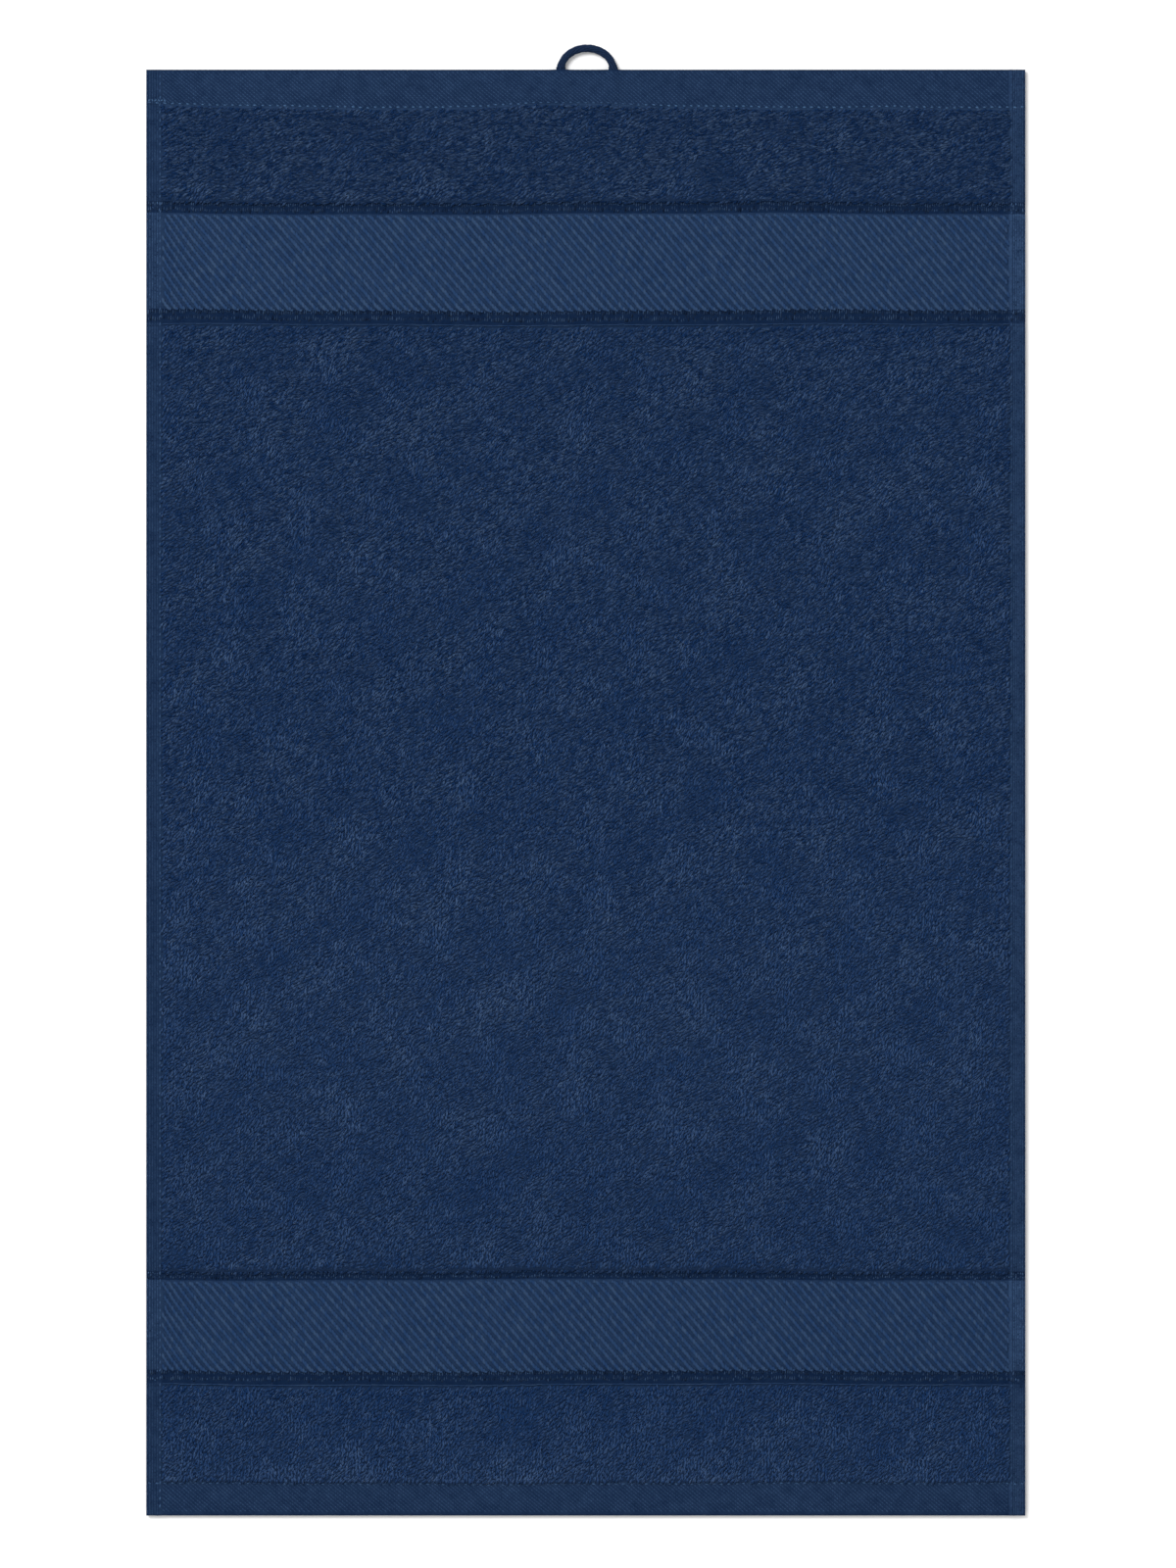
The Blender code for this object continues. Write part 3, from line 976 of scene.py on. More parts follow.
class ModelStrand:
    """One strand, modelled once: it runs along X from -1 to 1 and is copied to every place."""

    leaf_sides: float = 0.3  # how light a leaf's sides are beside its crest: painted shade
    tip_from: float = 0.99  # how far out along the strand its tips begin
    near: float = 0.01  # points this near to a line are on it
    square_share: float = 0.36  # how far a copy reaches from the middle of its square of the bake map
    half_side: float = math.sin(math.pi / 3)  # of the three-sided shape that a strand is made from
    rise: float = 1.5  # height of that shape

    def __init__(self, knot: Knot, shoulder: float = 0.45, tip_drop: float = 0.55) -> None:
        """Models the strand.

        Args:
            knot: how it is made up.
            shoulder: how far out its crest stays level.
            tip_drop: how far its tips lie below its sides, as a share of its height.
        """
        self.knot = knot
        deselect()
        if knot is Knot.LEAF:
            self.model_leaf(tip_drop)
        else:
            self.model_bar(0.0 if knot is Knot.SHORT else shoulder, tip_drop)
        bpy.ops.mesh.select_all(action="SELECT")
        bpy.ops.mesh.quads_convert_to_tris()
        bpy.ops.mesh.normals_make_consistent(inside=False)
        bpy.ops.object.mode_set(mode="OBJECT")
        made = bpy.context.object
        self.points = point_places(made.data)
        self.triangles = corner_points(made.data).reshape(-1, 3)
        bpy.data.objects.remove(made)

    def model_leaf(self, tip_drop: float) -> None:
        """A three-sided spike, its four points drawn to two ends and two sides.

        Args:
            tip_drop: how far its first end lies below its sides.
        """
        bpy.ops.mesh.primitive_cone_add(vertices=3, radius1=1, radius2=0, depth=1)
        bpy.ops.object.mode_set(mode="EDIT")
        pick_points(lambda co: co.z > 0)
        bpy.ops.transform.translate(value=(0, -1, -0.5))
        pick_points(lambda co: co.y > 1 - self.near)
        bpy.ops.transform.translate(value=(0, 0, 0.5))
        for end, height in ((-1, -tip_drop), (1, 1)):
            pick_points(lambda co, end=end: co.x * end > 0.5)
            bpy.ops.transform.translate(value=(end * (1 - self.half_side), 0.5, height + 0.5))

    def model_bar(self, shoulder: float, tip_drop: float) -> None:
        """Low three-sided sections, each end drawn out to a tip.

        Args:
            shoulder: how far out its crest stays level.
            tip_drop: how far its tips lie below its sides.
        """
        upright = (0, math.pi / 2, 0)
        bpy.ops.mesh.primitive_circle_add(vertices=3, radius=1, fill_type="NOTHING", rotation=upright)
        bpy.ops.object.transform_apply(location=False, rotation=True, scale=False)
        bpy.ops.object.mode_set(mode="EDIT")
        bpy.ops.mesh.select_all(action="SELECT")
        bpy.ops.transform.rotate(value=-math.pi / 2, orient_axis="X", center_override=(0, 0, 0))
        bpy.ops.transform.resize(value=(1, 1 / self.half_side, 1 / self.rise), center_override=(0, 0, 0))
        bpy.ops.transform.translate(value=(-shoulder, 0, 1 / 3))
        if self.knot is not Knot.SHORT:
            bpy.ops.mesh.extrude_edges_move(TRANSFORM_OT_translate={"value": (2 * shoulder, 0, 0)})
        for end in (1, -1):
            pick_points(lambda co, end=end: abs(co.x - end * shoulder) < self.near)
            outward = (end * (1 - shoulder), 0, 0)
            bpy.ops.mesh.extrude_edges_move(TRANSFORM_OT_translate={"value": outward})
            bpy.ops.mesh.merge(type="CENTER")
            bpy.ops.transform.translate(value=(0, 0, -1 / 3 - tip_drop))
        if self.knot is Knot.RIDGE:
            for side in (1, -1):
                pick_points(lambda co, side=side: abs(co.y - side) < self.near)
                bpy.ops.mesh.merge(type="CENTER")

    def lightness(self, tip_rise: float) -> np.ndarray:
        """How light the strand is beside its crest: painted shade at the tips that dive into the cloth, and
        on a leaf's sides.

        Args:
            tip_rise: how light its tips are, as painted shade where they dive into the cloth.

        Returns:
            One value for each of its points.
        """
        at = self.points[:, 0]
        if self.knot is Knot.LEAF:
            return np.where(at < -self.tip_from, tip_rise, np.where(at > self.tip_from, 1.0, self.leaf_sides))
        return np.where(np.abs(at) > self.tip_from, tip_rise, 1.0)

    def copies(
        self, name: str, strands: Strands, skin: Skin, tip_rise: float = 0.0,
    ) -> bpy.types.Mesh:
        """One mesh with a copy of the strand at each place.

        Args:
            name: the mesh's name.
            strands: where and how large the copies are.
            skin: what they lie on.
            tip_rise: how light the tips are, as a share of the crest: painted shade where they dive into the
                cloth.

        Returns:
            The mesh. It stores each point's rise and its place between the plies, and has a square
            of the bake map for each copy.
        """
        a, b, c = self.points.T[:, None, :]
        each = {key: values[:, None] for key, values in vars(strands).items()}
        ahead = a * each["length"] / 2
        aside = b * each["width"] / 2 + each["bow"] * (1 - a * a)
        cos, sin = np.cos(each["turn"]), np.sin(each["turn"])
        along = each["along"] + ahead * cos - aside * sin
        across = each["across"] + ahead * sin + aside * cos
        points = skin.place(along, across, each["crest"] + (c - 1) * each["height"]).reshape(-1, 3)
        count, size = along.shape
        triangles = self.triangles[:, ::-1] if skin.turned_over else self.triangles
        triangles = (triangles[None] + size * np.arange(count)[:, None, None]).reshape(-1, 3)
        mesh = mesh_from(name, points, triangles)
        set_values(mesh, "rise", (self.lightness(tip_rise) * each["tone"]).ravel())
        set_values(mesh, "ply", np.broadcast_to(b, along.shape).ravel())
        squares = math.ceil(math.sqrt(count))
        number = np.arange(count)[:, None]
        u = (number % squares + 0.5 + self.square_share * a) / squares
        v = (number // squares + 0.5 + self.square_share * b) / squares
        set_map(mesh, np.stack([u.ravel(), v.ravel()], 1)[corner_points(mesh)])
        return mesh


@dataclass
class YarnField:
    """Strands of one kind on one face of the cloth: a piece of the towel."""

    towel: Towel
    name: str
    seed: int
    face: Face = Face.FRONT
    knot: Knot = Knot.LONG
    finish: Finish = Finish.PILE
    on_ground: bool = False  # whether crests are measured from the ground sheet
    shoulder: float = 0.45  # how far out along a strand its crest stays level
    tip_drop: float = 0.55  # of a strand's tips below its sides, as a share of its height
    tip_rise: float = 0.0  # how light its tips are beside its crest: painted shade where they dive into the cloth
    stray: float = 0.05 * MM  # how far strands lie from their places
    uneven: float = 0.02 * MM  # how far their crests lie from their level
    twist: float = 0.03  # how far they turn from their direction, in radians

    def strands(self) -> Strands:
        """Places, sizes and turns of the strands."""
        raise NotImplementedError

    def draw(self) -> np.random.Generator:
        """The field's own random numbers, the same each time."""
        return np.random.default_rng(self.seed)

    def build(self, finishes: dict[Finish, bpy.types.Material]) -> bpy.types.Object:
        """Copies the model strand all over the field.

        Args:
            finishes: the towel's materials.

        Returns:
            The piece.
        """
        model = ModelStrand(self.knot, self.shoulder, self.tip_drop)
        skin = ClothSkin(self.towel, self.face, self.on_ground)
        mesh = model.copies(self.name, self.strands(), skin, self.tip_rise)
        return show(self.name, mesh, finishes[self.finish], Slot.TOWEL)


@dataclass
class Pile(YarnField):
    """An upright strip of terry, through the three fields of pile."""

    knot: Knot = Knot.LEAF
    tip_rise: float = 0.5
    stray: float = 0.2 * MM
    uneven: float = 0.04 * MM
    left: float = 0.0  # where the strip starts across the towel
    right: float = 0.0  # where it ends
    pitch_x: float = 1.16 * MM  # from one loop to the next
    pitch_y: float = 1.22 * MM
    first_row: float = 0.3  # how far down its band the first row of loops is, in pitches
    crown: float = 1.7 * MM  # height of the loops' crowns over the middle layer
    headroom: float = 0.2 * MM  # of the highest strands over the crowns
    sunk: float = 0.08 * MM  # of the strands' crests under the crowns
    strand_length: float = 2.4 * MM
    strand_width: float = 0.95 * MM
    strand_height: float = 0.2 * MM
    length_range: tuple[float, float] = (0.8, 1.2)
    width_range: tuple[float, float] = (0.85, 1.15)
    spread: float = 0.36 * MM  # from a loop's middle to each of its strands
    bow: float = 0.12 * MM
    bow_range: tuple[float, float] = (0.3, 1.6)
    overhang: float = 0.55 * MM  # of the pile over a groove, and half of it over the bottom seam
    ragged_sides: tuple[float, float] = (-0.3 * MM, 0.7 * MM)  # how far loops reach over the side seams
    edge_drop: float = 0.3 * MM  # how much lower the loops lie over a groove
    edge_width: float = 1.6 * MM  # how far that reaches into the pile
    hidden: float = 0.08  # share of the strands that lie out of sight
    patch_seed: int = 41
    patch_size: float = 24 * MM
    patch_depth: float = 0.03 * MM
    patch_tone: float = 0.22
    clump_seed: int = 42
    clump_size: float = 4.2 * MM
    clump_depth: float = 0.05 * MM
    # how much lighter the higher clumps are painted and darker the lower ones: painted shade in their hollows
    clump_tone: float = 0.22
    # the tone dips at the top of each field of pile, below the seam and the grooves, are painted shade; the
    # spread is partly painted light and shade along the towel
    # distance down the towel, the strands' tone there and how far they stray from it
    tones: tuple[tuple[float, float, float], ...] = (
        (13 * MM, 1.35, 1.95), (17 * MM, 1.55, 1.95), (45 * MM, 1.55, 1.9), (88 * MM, 0.95, 1.6),
        (94 * MM, 1.5, 1.6), (150 * MM, 1.58, 1.55), (200 * MM, 1.45, 1.5), (250 * MM, 1.45, 1.45),
        (290 * MM, 1.6, 1.3), (340 * MM, 1.65, 1.1), (390 * MM, 1.4, 1.0), (410 * MM, 1.45, 1.0),
        (454 * MM, 0.85, 0.95), (460 * MM, 1.15, 0.95), (480 * MM, 1.4, 0.95), (488 * MM, 1.75, 0.9),
    )
    # distance down the towel, and which way the loops lean there, in degrees from +X
    lean: tuple[tuple[float, float], ...] = (
        (14 * MM, 18), (45 * MM, 25), (90 * MM, 38), (190 * MM, 47),
        (300 * MM, 54), (420 * MM, 58), (490 * MM, 68),
    )
    # seed and size of the wide and the narrow curls, and the degrees that the lean sways by in them
    swirls: tuple[tuple[int, float, float], ...] = ((31, 17 * MM, 18.0), (32, 5.5 * MM, 12.0))
    scatter: float = 12.0  # degrees that each strand strays from the lean

    def loops(self) -> tuple[np.ndarray, np.ndarray, np.ndarray, np.ndarray]:
        """The strip's loops, with every other column half a pitch lower.

        Returns:
            Each loop's place across and down the towel, and its band's start and end.
        """
        towel = self.towel
        half = towel.inner_half - towel.clearance
        columns = np.arange(-half, half + self.pitch_x / 2, self.pitch_x)
        low = -math.inf if self.left < -half else self.left
        high = math.inf if self.right > half else self.right
        columns = columns[(columns >= low) & (columns < high)]
        rows, starts, ends = [], [], []
        for span in towel.spans_of(Weave.PILE):
            first = span.start + self.pitch_y * self.first_row
            places = np.arange(first, span.end + self.overhang / 2, self.pitch_y)
            rows.append(places)
            starts.append(np.full(len(places), span.start))
            ends.append(np.full(len(places), span.end))
        x, v = pairs(columns, np.concatenate(rows))
        start, end = (np.repeat(np.concatenate(edges), len(columns)) for edges in (starts, ends))
        odd = np.rint((x + half) / self.pitch_x - 0.5) % 2
        return x, v + odd * self.pitch_y / 2, start, end

    def strands(self) -> Strands:
        """A pair of bowed strands for each loop, like the two sides of a ring seen from above.

        Returns:
            The strands that show.
        """
        towel = self.towel
        rng = self.draw()
        x, v, start, end = (np.repeat(values, 2) for values in self.loops())
        side = np.tile([-1.0, 1.0], len(x) // 2)
        count = len(x)
        y = towel.top_edge - v
        places, middles, strays = zip(*self.tones)
        tone = np.interp(v, places, middles) + np.interp(v, places, strays) * rng.uniform(-1, 1, count)
        swirl = sum(Waves(seed, size).at(x, y) * sway for seed, size, sway in self.swirls)
        lean = np.interp(v, *zip(*self.lean))
        turn = np.radians(lean + swirl + rng.normal(0, self.scatter, count))
        x = x - np.sin(turn) * side * self.spread + rng.normal(0, self.stray, count)
        y = y + np.cos(turn) * side * self.spread + rng.normal(0, self.stray, count)
        patch = Waves(self.patch_seed, self.patch_size).at(x, y)
        clump = Waves(self.clump_seed, self.clump_size).at(x, y)
        crest = self.crown - self.sunk + patch * self.patch_depth + clump * self.clump_depth
        crest = crest + rng.normal(0, self.uneven, count)
        over_groove = v < towel.span("lower_pile").start
        crest = crest - self.edge_drop * fade(end - v, self.edge_width) * over_groove
        strands = Strands(
            along=x,
            across=y,
            crest=np.minimum(crest, self.crown + self.headroom),
            turn=turn,
            length=self.strand_length * rng.uniform(*self.length_range, count),
            width=self.strand_width * rng.uniform(*self.width_range, count),
            height=self.strand_height,
            bow=side * self.bow * rng.uniform(*self.bow_range, count),
            # the clumps' share of the tone is painted shade, darker where they sink
            tone=(1 + self.clump_tone * clump + self.patch_tone * patch) * np.maximum(tone, 0),
        )
        reach = towel.inner_half - towel.clearance + rng.uniform(*self.ragged_sides, count)
        low_edge = end + np.where(over_groove, self.overhang, self.overhang / 2)
        inside = (np.abs(x) < reach) & (towel.down(y) > start) & (towel.down(y) < low_edge)
        return strands.kept(inside & (rng.random(count) > self.hidden))


@dataclass
class BackPile(Pile):
    """An upright strip of terry on the back, in coarser strands."""

    face: Face = Face.BACK
    pitch_x: float = 2.9 * MM
    pitch_y: float = 3.0 * MM
    headroom: float = 0.0
    strand_length: float = 4.8 * MM
    strand_width: float = 1.9 * MM
    spread: float = 0.75 * MM
    hidden: float = 0.04


@dataclass
class TwillFace(YarnField):
    """The front of a border: warp floats that step down to the right into diagonal ribs."""

    finish: Finish = Finish.TWILL
    knot: Knot = Knot.RIDGE
    shoulder: float = 0.5
    tip_drop: float = 0.15
    tip_rise: float = 0.65
    stray: float = 0.06 * MM
    twist: float = 0.05
    float_length: float = 3.0 * MM
    float_width: float = 1.6 * MM
    float_height: float = 0.22 * MM
    shortest: float = 1.0 * MM  # a float cut shorter than this is left out
    drawn_out: float = 1.05  # length of a float's strand beside the float
    width_range: tuple[float, float] = (0.94, 1.06)
    crest: float = 1.02 * MM  # height of the floats' crests over the middle layer
    slant: float = -73.0  # which way the floats are drawn, in degrees from +X
    tone_spread: float = 0.42
    lightness: float = 1.0
    set_back: float = 0.12 * MM  # of the highest floats from the groove
    overhang: float = 0.75 * MM  # of the lowest floats over the groove
    steeper: float = 0.4  # how much more the ribs fall for their run at the left side
    steeper_width: float = 15 * MM

    def strands(self) -> Strands:
        """Floats over three picks and under one, each a pick lower than the last.

        Returns:
            One strand for each float.
        """
        towel = self.towel
        rng = self.draw()
        span = towel.span(self.name)
        half = towel.inner_half - towel.clearance
        last_end = round(half / towel.end_pitch)
        ends = np.arange(-last_end, last_end + 1)
        start, end = span.start + self.set_back, span.end + self.overhang
        rise = towel.twill_repeat * towel.pick_pitch
        near = np.maximum(0, self.steeper_width - (ends * towel.end_pitch + half))
        fall = ends * towel.pick_pitch - self.steeper * near**2 / (2 * self.steeper_width)
        number, step = pairs(np.arange(len(ends)), np.arange(-2, (end - start) / rise + 2))
        middle = start + fall[number] % rise + step * rise
        top = np.maximum(middle - self.float_length / 2, start)
        bottom = np.minimum(middle + self.float_length / 2, end)
        count = len(top)
        x = ends[number] * towel.end_pitch + rng.normal(0, self.stray, count)
        strands = Strands(
            along=x,
            across=towel.top_edge - (top + bottom) / 2,
            crest=self.crest + rng.normal(0, self.uneven, count),
            turn=math.radians(self.slant) + rng.normal(0, self.twist, count),
            length=(bottom - top) * self.drawn_out,
            width=self.float_width * rng.uniform(*self.width_range, count),
            height=self.float_height,
            bow=0.0,
            tone=self.lightness + self.tone_spread * rng.uniform(-1, 1, count),
        )
        return strands.kept((bottom - top > self.shortest) & (np.abs(x) < half))


@dataclass
class TwillBack(YarnField):
    """The back of a border: weft floats that lie across, over three ends and under one."""

    border: str = ""
    face: Face = Face.BACK
    finish: Finish = Finish.TWILL
    knot: Knot = Knot.SHORT
    crest: float = 0.95 * MM
    length_share: float = 0.95  # of one repeat of the twill
    width_share: float = 1.05  # of the pitch of the picks
    strand_height: float = 0.36 * MM
    tone_range: tuple[float, float] = (0.85, 1.1)

    def strands(self) -> Strands:
        """Floats on each pick, each an end further than the last.

        Returns:
            One strand for each float.
        """
        towel = self.towel
        rng = self.draw()
        span = towel.span(self.border)
        half = towel.inner_half - towel.clearance
        picks = np.arange(span.start + towel.pick_pitch / 2, span.end, towel.pick_pitch)
        run = towel.twill_repeat * towel.end_pitch
        number, step = pairs(np.arange(len(picks)), np.arange(-1, 2 * half / run + 1))
        x = -half + (number * towel.end_pitch) % run + step * run
        count = len(x)
        strands = Strands(
            along=x,
            across=towel.top_edge - picks[number],
            crest=self.crest + rng.normal(0, self.uneven, count),
            turn=rng.normal(0, self.twist, count),
            length=run * self.length_share,
            width=towel.pick_pitch * self.width_share,
            height=self.strand_height,
            bow=0.0,
            tone=rng.uniform(*self.tone_range, count),
        )
        return strands.kept(np.abs(x) < half - run / 3)


@dataclass
class GrooveRibs(YarnField):
    """The bare warp in the narrow sunk bands on either side of the borders."""

    finish: Finish = Finish.GROUND
    knot: Knot = Knot.LEAF
    on_ground: bool = True
    tip_rise: float = 0.5
    uneven: float = 0.05 * MM
    slip: float = 0.3 * MM  # how far strands lie from their places along the ribs
    parts: int = 2  # strands end to end along each rib
    length_range: tuple[float, float] = (0.8, 1.5)
    strand_width: float = 0.7 * MM
    strand_height: float = 0.34 * MM
    margin: float = 0.4 * MM  # between the ribs and the towel's sides
    inset: float = 0.2 * MM  # of the ribs from the edge of a pile
    tuck: float = 0.1 * MM  # of the ribs under what else lies beside the groove
    crest: float = 0.28 * MM  # over the ground sheet
    tone_range: tuple[float, float] = (0.0, 2.8)
    lighter_under_pile: float = 0.8  # how much lighter the strands are beside the edge of a pile above them: painted light over the pile's shadow
    side_lightness: float = 1.5  # of the ribs in the side hems

    def strands(self) -> Strands:
        """A few strands end to end for each end in each groove.

        Returns:
            The strands, cut to their grooves.
        """
        towel = self.towel
        rng = self.draw()
        half = towel.width / 2 - self.margin
        ends = np.arange(-half + towel.end_pitch / 2, half, towel.end_pitch)
        spans = towel.spans_of(Weave.GROOVE)
        under_pile = ["_over_" in span.band.name for span in spans]
        part_lengths = [(span.end - span.start) / self.parts for span in spans]
        middles = [
            span.start + (number + 0.5) * part
            for span, part in zip(spans, part_lengths)
            for number in range(self.parts)
        ]
        highest = [below and number == 0 for below in under_pile for number in range(self.parts)]
        x = np.tile(ends, len(middles))
        # painted light over the shadow that the pile's edge casts
        lighter = np.repeat(np.where(highest, self.lighter_under_pile, 0.0), len(ends))
        count = len(x)
        middle = np.repeat(middles, len(ends)) + rng.normal(0, self.slip, count)
        whole = len(ends) * self.parts
        length = np.repeat(part_lengths, whole) * rng.uniform(*self.length_range, count)
        insets = np.where(under_pile, self.inset, -self.tuck)
        first = np.repeat([span.start for span in spans] + insets, whole)
        last = np.repeat([span.end + self.tuck for span in spans], whole)
        top, bottom = np.maximum(middle - length / 2, first), np.minimum(middle + length / 2, last)
        sides = np.where(towel.inward(x) < towel.sides, self.side_lightness, 1.0)
        return Strands(
            along=x + rng.normal(0, self.stray, count),
            across=towel.top_edge - (top + bottom) / 2,
            crest=self.crest + rng.normal(0, self.uneven, count),
            turn=math.pi / 2 + rng.normal(0, self.twist, count),
            length=bottom - top,
            width=self.strand_width,
            height=self.strand_height,
            bow=0.0,
            tone=(rng.uniform(*self.tone_range, count) + lighter) * sides,
        )


@dataclass
class WeftLines(YarnField):
    """The thick weft that shows as a thin raised line beside two of the grooves."""

    finish: Finish = Finish.TWILL
    stray: float = 0.06 * MM
    uneven: float = 0.04 * MM
    pitch: float = 1.9 * MM
    overlap: float = 1.9  # length of a strand, in pitches
    strand_width: float = 0.5 * MM
    strand_height: float = 0.35 * MM
    crest: float = 1.12 * MM
    tone_range: tuple[float, float] = (0.3, 1.15)

    def strands(self) -> Strands:
        """Strands laid end over end.

        Returns:
            The strands of both lines.
        """
        towel = self.towel
        rng = self.draw()
        half = towel.inner_half
        spans = towel.spans_of(Weave.WEFT_LINE)
        x = np.tile(np.arange(-half + self.pitch / 2, half, self.pitch), len(spans))
        count = len(x)
        middle = np.repeat([(span.start + span.end) / 2 for span in spans], count // len(spans))
        return Strands(
            along=x,
            across=towel.top_edge - middle + rng.normal(0, self.stray, count),
            crest=self.crest + rng.normal(0, self.uneven, count),
            turn=rng.normal(0, self.twist, count),
            length=self.pitch * self.overlap,
            width=self.strand_width,
            height=self.strand_height,
            bow=0.0,
            tone=rng.uniform(*self.tone_range, count),
        )


@dataclass
class HemWeave(YarnField):
    """The fine slanting hatch of an end hem, between the side hems."""

    hem: str = "top_hem"
    finish: Finish = Finish.GROUND
    knot: Knot = Knot.SHORT
    on_ground: bool = True
    tip_drop: float = 0.1
    tip_rise: float = 0.55
    stray: float = 0.04 * MM
    uneven: float = 0.012 * MM
    twist: float = 0.09
    pick_pitch: float = 0.676 * MM
    slant: float = -41.0  # degrees from +X
    strand_length: float = 2.6 * MM
    strand_width: float = 0.62 * MM
    strand_height: float = 0.34 * MM
    crest: float = 0.2 * MM  # over the ground sheet
    margin: float = 1.2 * MM  # between the hatch and the fold
    tone_range: tuple[float, float] = (0.85, 1.25)

    def strands(self) -> Strands:
        """Short slanting strands on every other crossing of ends and picks.

        Returns:
            The strands of the hem.
        """
        towel = self.towel
        rng = self.draw()
        span = towel.span(self.hem)
        half = towel.inner_half
        start, end = max(span.start, self.margin), min(span.end, towel.length - self.margin)
        x = np.arange(-half + towel.end_pitch / 2, half, towel.end_pitch)
        v = np.arange(start, end, self.pick_pitch)
        column, row = pairs(np.arange(len(x)), np.arange(len(v)))
        chosen = (column + row) % 2 == 0
        column, row = column[chosen], row[chosen]
        count = len(column)
        return Strands(
            along=x[column] + rng.normal(0, self.stray, count),
            across=towel.top_edge - v[row] + rng.normal(0, self.stray, count),
            crest=self.crest + rng.normal(0, self.uneven, count),
            turn=math.radians(self.slant) + rng.normal(0, self.twist, count),
            length=self.strand_length,
            width=self.strand_width,
            height=self.strand_height,
            bow=0.0,
            tone=rng.uniform(*self.tone_range, count),
        )


@dataclass
class SideRibs(YarnField):
    """The warp of the side hems, turned up into fine ribs along the towel."""

    finish: Finish = Finish.GROUND
    knot: Knot = Knot.LEAF
    on_ground: bool = True
    tip_drop: float = 0.1
    tip_rise: float = 0.6
    pitch: float = 0.9 * MM
    strand_length: float = 1.3 * MM
    length_range: tuple[float, float] = (0.8, 1.15)
    width_share: float = 0.85  # of a rib
    strand_height: float = 0.3 * MM
    crest: float = 0.16 * MM  # over the ground sheet
    lightness: float = 2.4  # beside the ground sheet
    tone_range: tuple[float, float] = (0.1, 1.9)

    def strands(self) -> Strands:
        """Strands end over end along each rib of both side hems.

        Returns:
            The strands of both sides.
        """
        towel = self.towel
        rng = self.draw()
        down = np.arange(2 * self.pitch / 3, towel.length - 2 * self.pitch / 3, self.pitch)
        ribs = [
            side * (towel.width / 2 - towel.side_hem * (number + 0.5) / count)
            for side, count in ((-1, towel.left_ribs), (1, towel.right_ribs))
            for number in range(count)
        ]
        x, v = pairs(ribs, down)
        count = len(x)
        y = towel.top_edge - v - rng.uniform(0, self.pitch / 2, count)
        rib_width = np.where(x < 0, towel.side_hem / towel.left_ribs, towel.side_hem / towel.right_ribs)
        return Strands(
            along=x + rng.normal(0, self.stray, count),
            across=y,
            crest=self.crest + rng.normal(0, self.uneven, count),
            turn=math.pi / 2 + rng.normal(0, self.twist, count),
            length=self.strand_length * rng.uniform(*self.length_range, count),
            width=rib_width * self.width_share,
            height=self.strand_height,
            bow=0.0,
            tone=towel.side_rise(x, y) * self.lightness * rng.uniform(*self.tone_range, count),
        )


@dataclass
class Stitches(YarnField):
    """The lockstitch that holds the four hems down, seen as short dashes of thread."""

    finish: Finish = Finish.THREAD
    knot: Knot = Knot.RIDGE
    on_ground: bool = True
    stray: float = 0.06 * MM
    twist: float = 0.09
    slant: float = -0.15  # of the stitches from their line, in radians
    pitch: float = 2.6 * MM
    dash: float = 2.0 * MM
    dash_range: tuple[float, float] = (0.85, 1.1)
    strand_width: float = 0.85 * MM
    strand_height: float = 0.34 * MM
    crest: float = 0.24 * MM  # over the ground sheet
    top_lift: float = 0.15 * MM  # of the top hem's stitches above the hem's end
    bottom_drop: float = 0.1 * MM  # of the bottom hem's stitches below the hem's start
    tone_range: tuple[float, float] = (0.75, 1.15)
    bottom_tone: float = 0.55
    left_tones: tuple[float, float] = (0.4, 0.85)  # above the bottom hem, and in it
    right_tone: float = 0.2
    dullness: float = 0.6  # of the stitches that the pile half hides below the loop
    dull_half_width: float = 12 * MM
    dull_fade: float = 14 * MM
    tacks: int = 6  # stitches back and forth where the top seam starts
    tack_pitch: float = 1.1 * MM
    tack_turn: float = 0.9  # radians from +X
    tack_tone: float = 0.8

    def strands(self) -> Strands:
        """A dash for each stitch, along both end hems and both side hems.

        Returns:
            The dashes of all four hems and of the back-tacking.
        """
        towel = self.towel
        across = np.arange(-towel.width / 2 + self.pitch / 2, towel.width / 2, self.pitch)
        down = np.arange(self.pitch, towel.length - self.pitch / 2, self.pitch)
        top = towel.top_edge - towel.span("top_hem").end
        bottom = towel.span("bottom_hem").start
        bottom_y = towel.top_edge - bottom - self.bottom_drop
        side_x = towel.width / 2 - towel.side_hem - towel.hem_ridge / 2
        by_loop = fade(np.abs(across - towel.loop_x) - self.dull_half_width, self.dull_fade)
        left = np.where(down > bottom, self.left_tones[1], self.left_tones[0])
        tack = np.arange(self.tacks) * self.tack_pitch + self.tack_pitch
        turn = np.where(np.arange(self.tacks) % 2 == 0, self.tack_turn, -self.tack_turn)
        lines = self.line(across, top + self.top_lift, 0.0, 1 - self.dullness * by_loop)
        for line in (
            (across, bottom_y, 0.0, self.bottom_tone),
            (-side_x, towel.top_edge - down, math.pi / 2, left),
            (side_x, towel.top_edge - down, math.pi / 2, self.right_tone),
            (tack - towel.width / 2, top + self.tack_pitch, turn, self.tack_tone),
        ):
            lines = lines.with_more(self.line(*line))
        return lines

    def line(
        self,
        x: float | np.ndarray,
        y: float | np.ndarray,
        turn: float | np.ndarray,
        tone: float | np.ndarray,
    ) -> Strands:
        """The stitches of one line, each a little off it.

        Args:
            x: their places across the towel.
            y: their places along the towel.
            turn: which way they run, in radians from +X.
            tone: how light they are.

        Returns:
            One strand for each stitch.
        """
        x, y = np.broadcast_arrays(x, y)
        count = len(x)
        rng = np.random.default_rng(self.seed + count)
        return Strands(
            along=x + rng.normal(0, self.stray, count),
            across=y + rng.normal(0, self.stray, count),
            crest=self.crest,
            turn=turn + rng.normal(self.slant, self.twist, count),
            length=self.dash * rng.uniform(*self.dash_range, count),
            width=self.strand_width,
            height=self.strand_height,
            bow=0.0,
            tone=tone * rng.uniform(*self.tone_range, count),
        )


# ---------------------------------------------------------------- the hanging loop


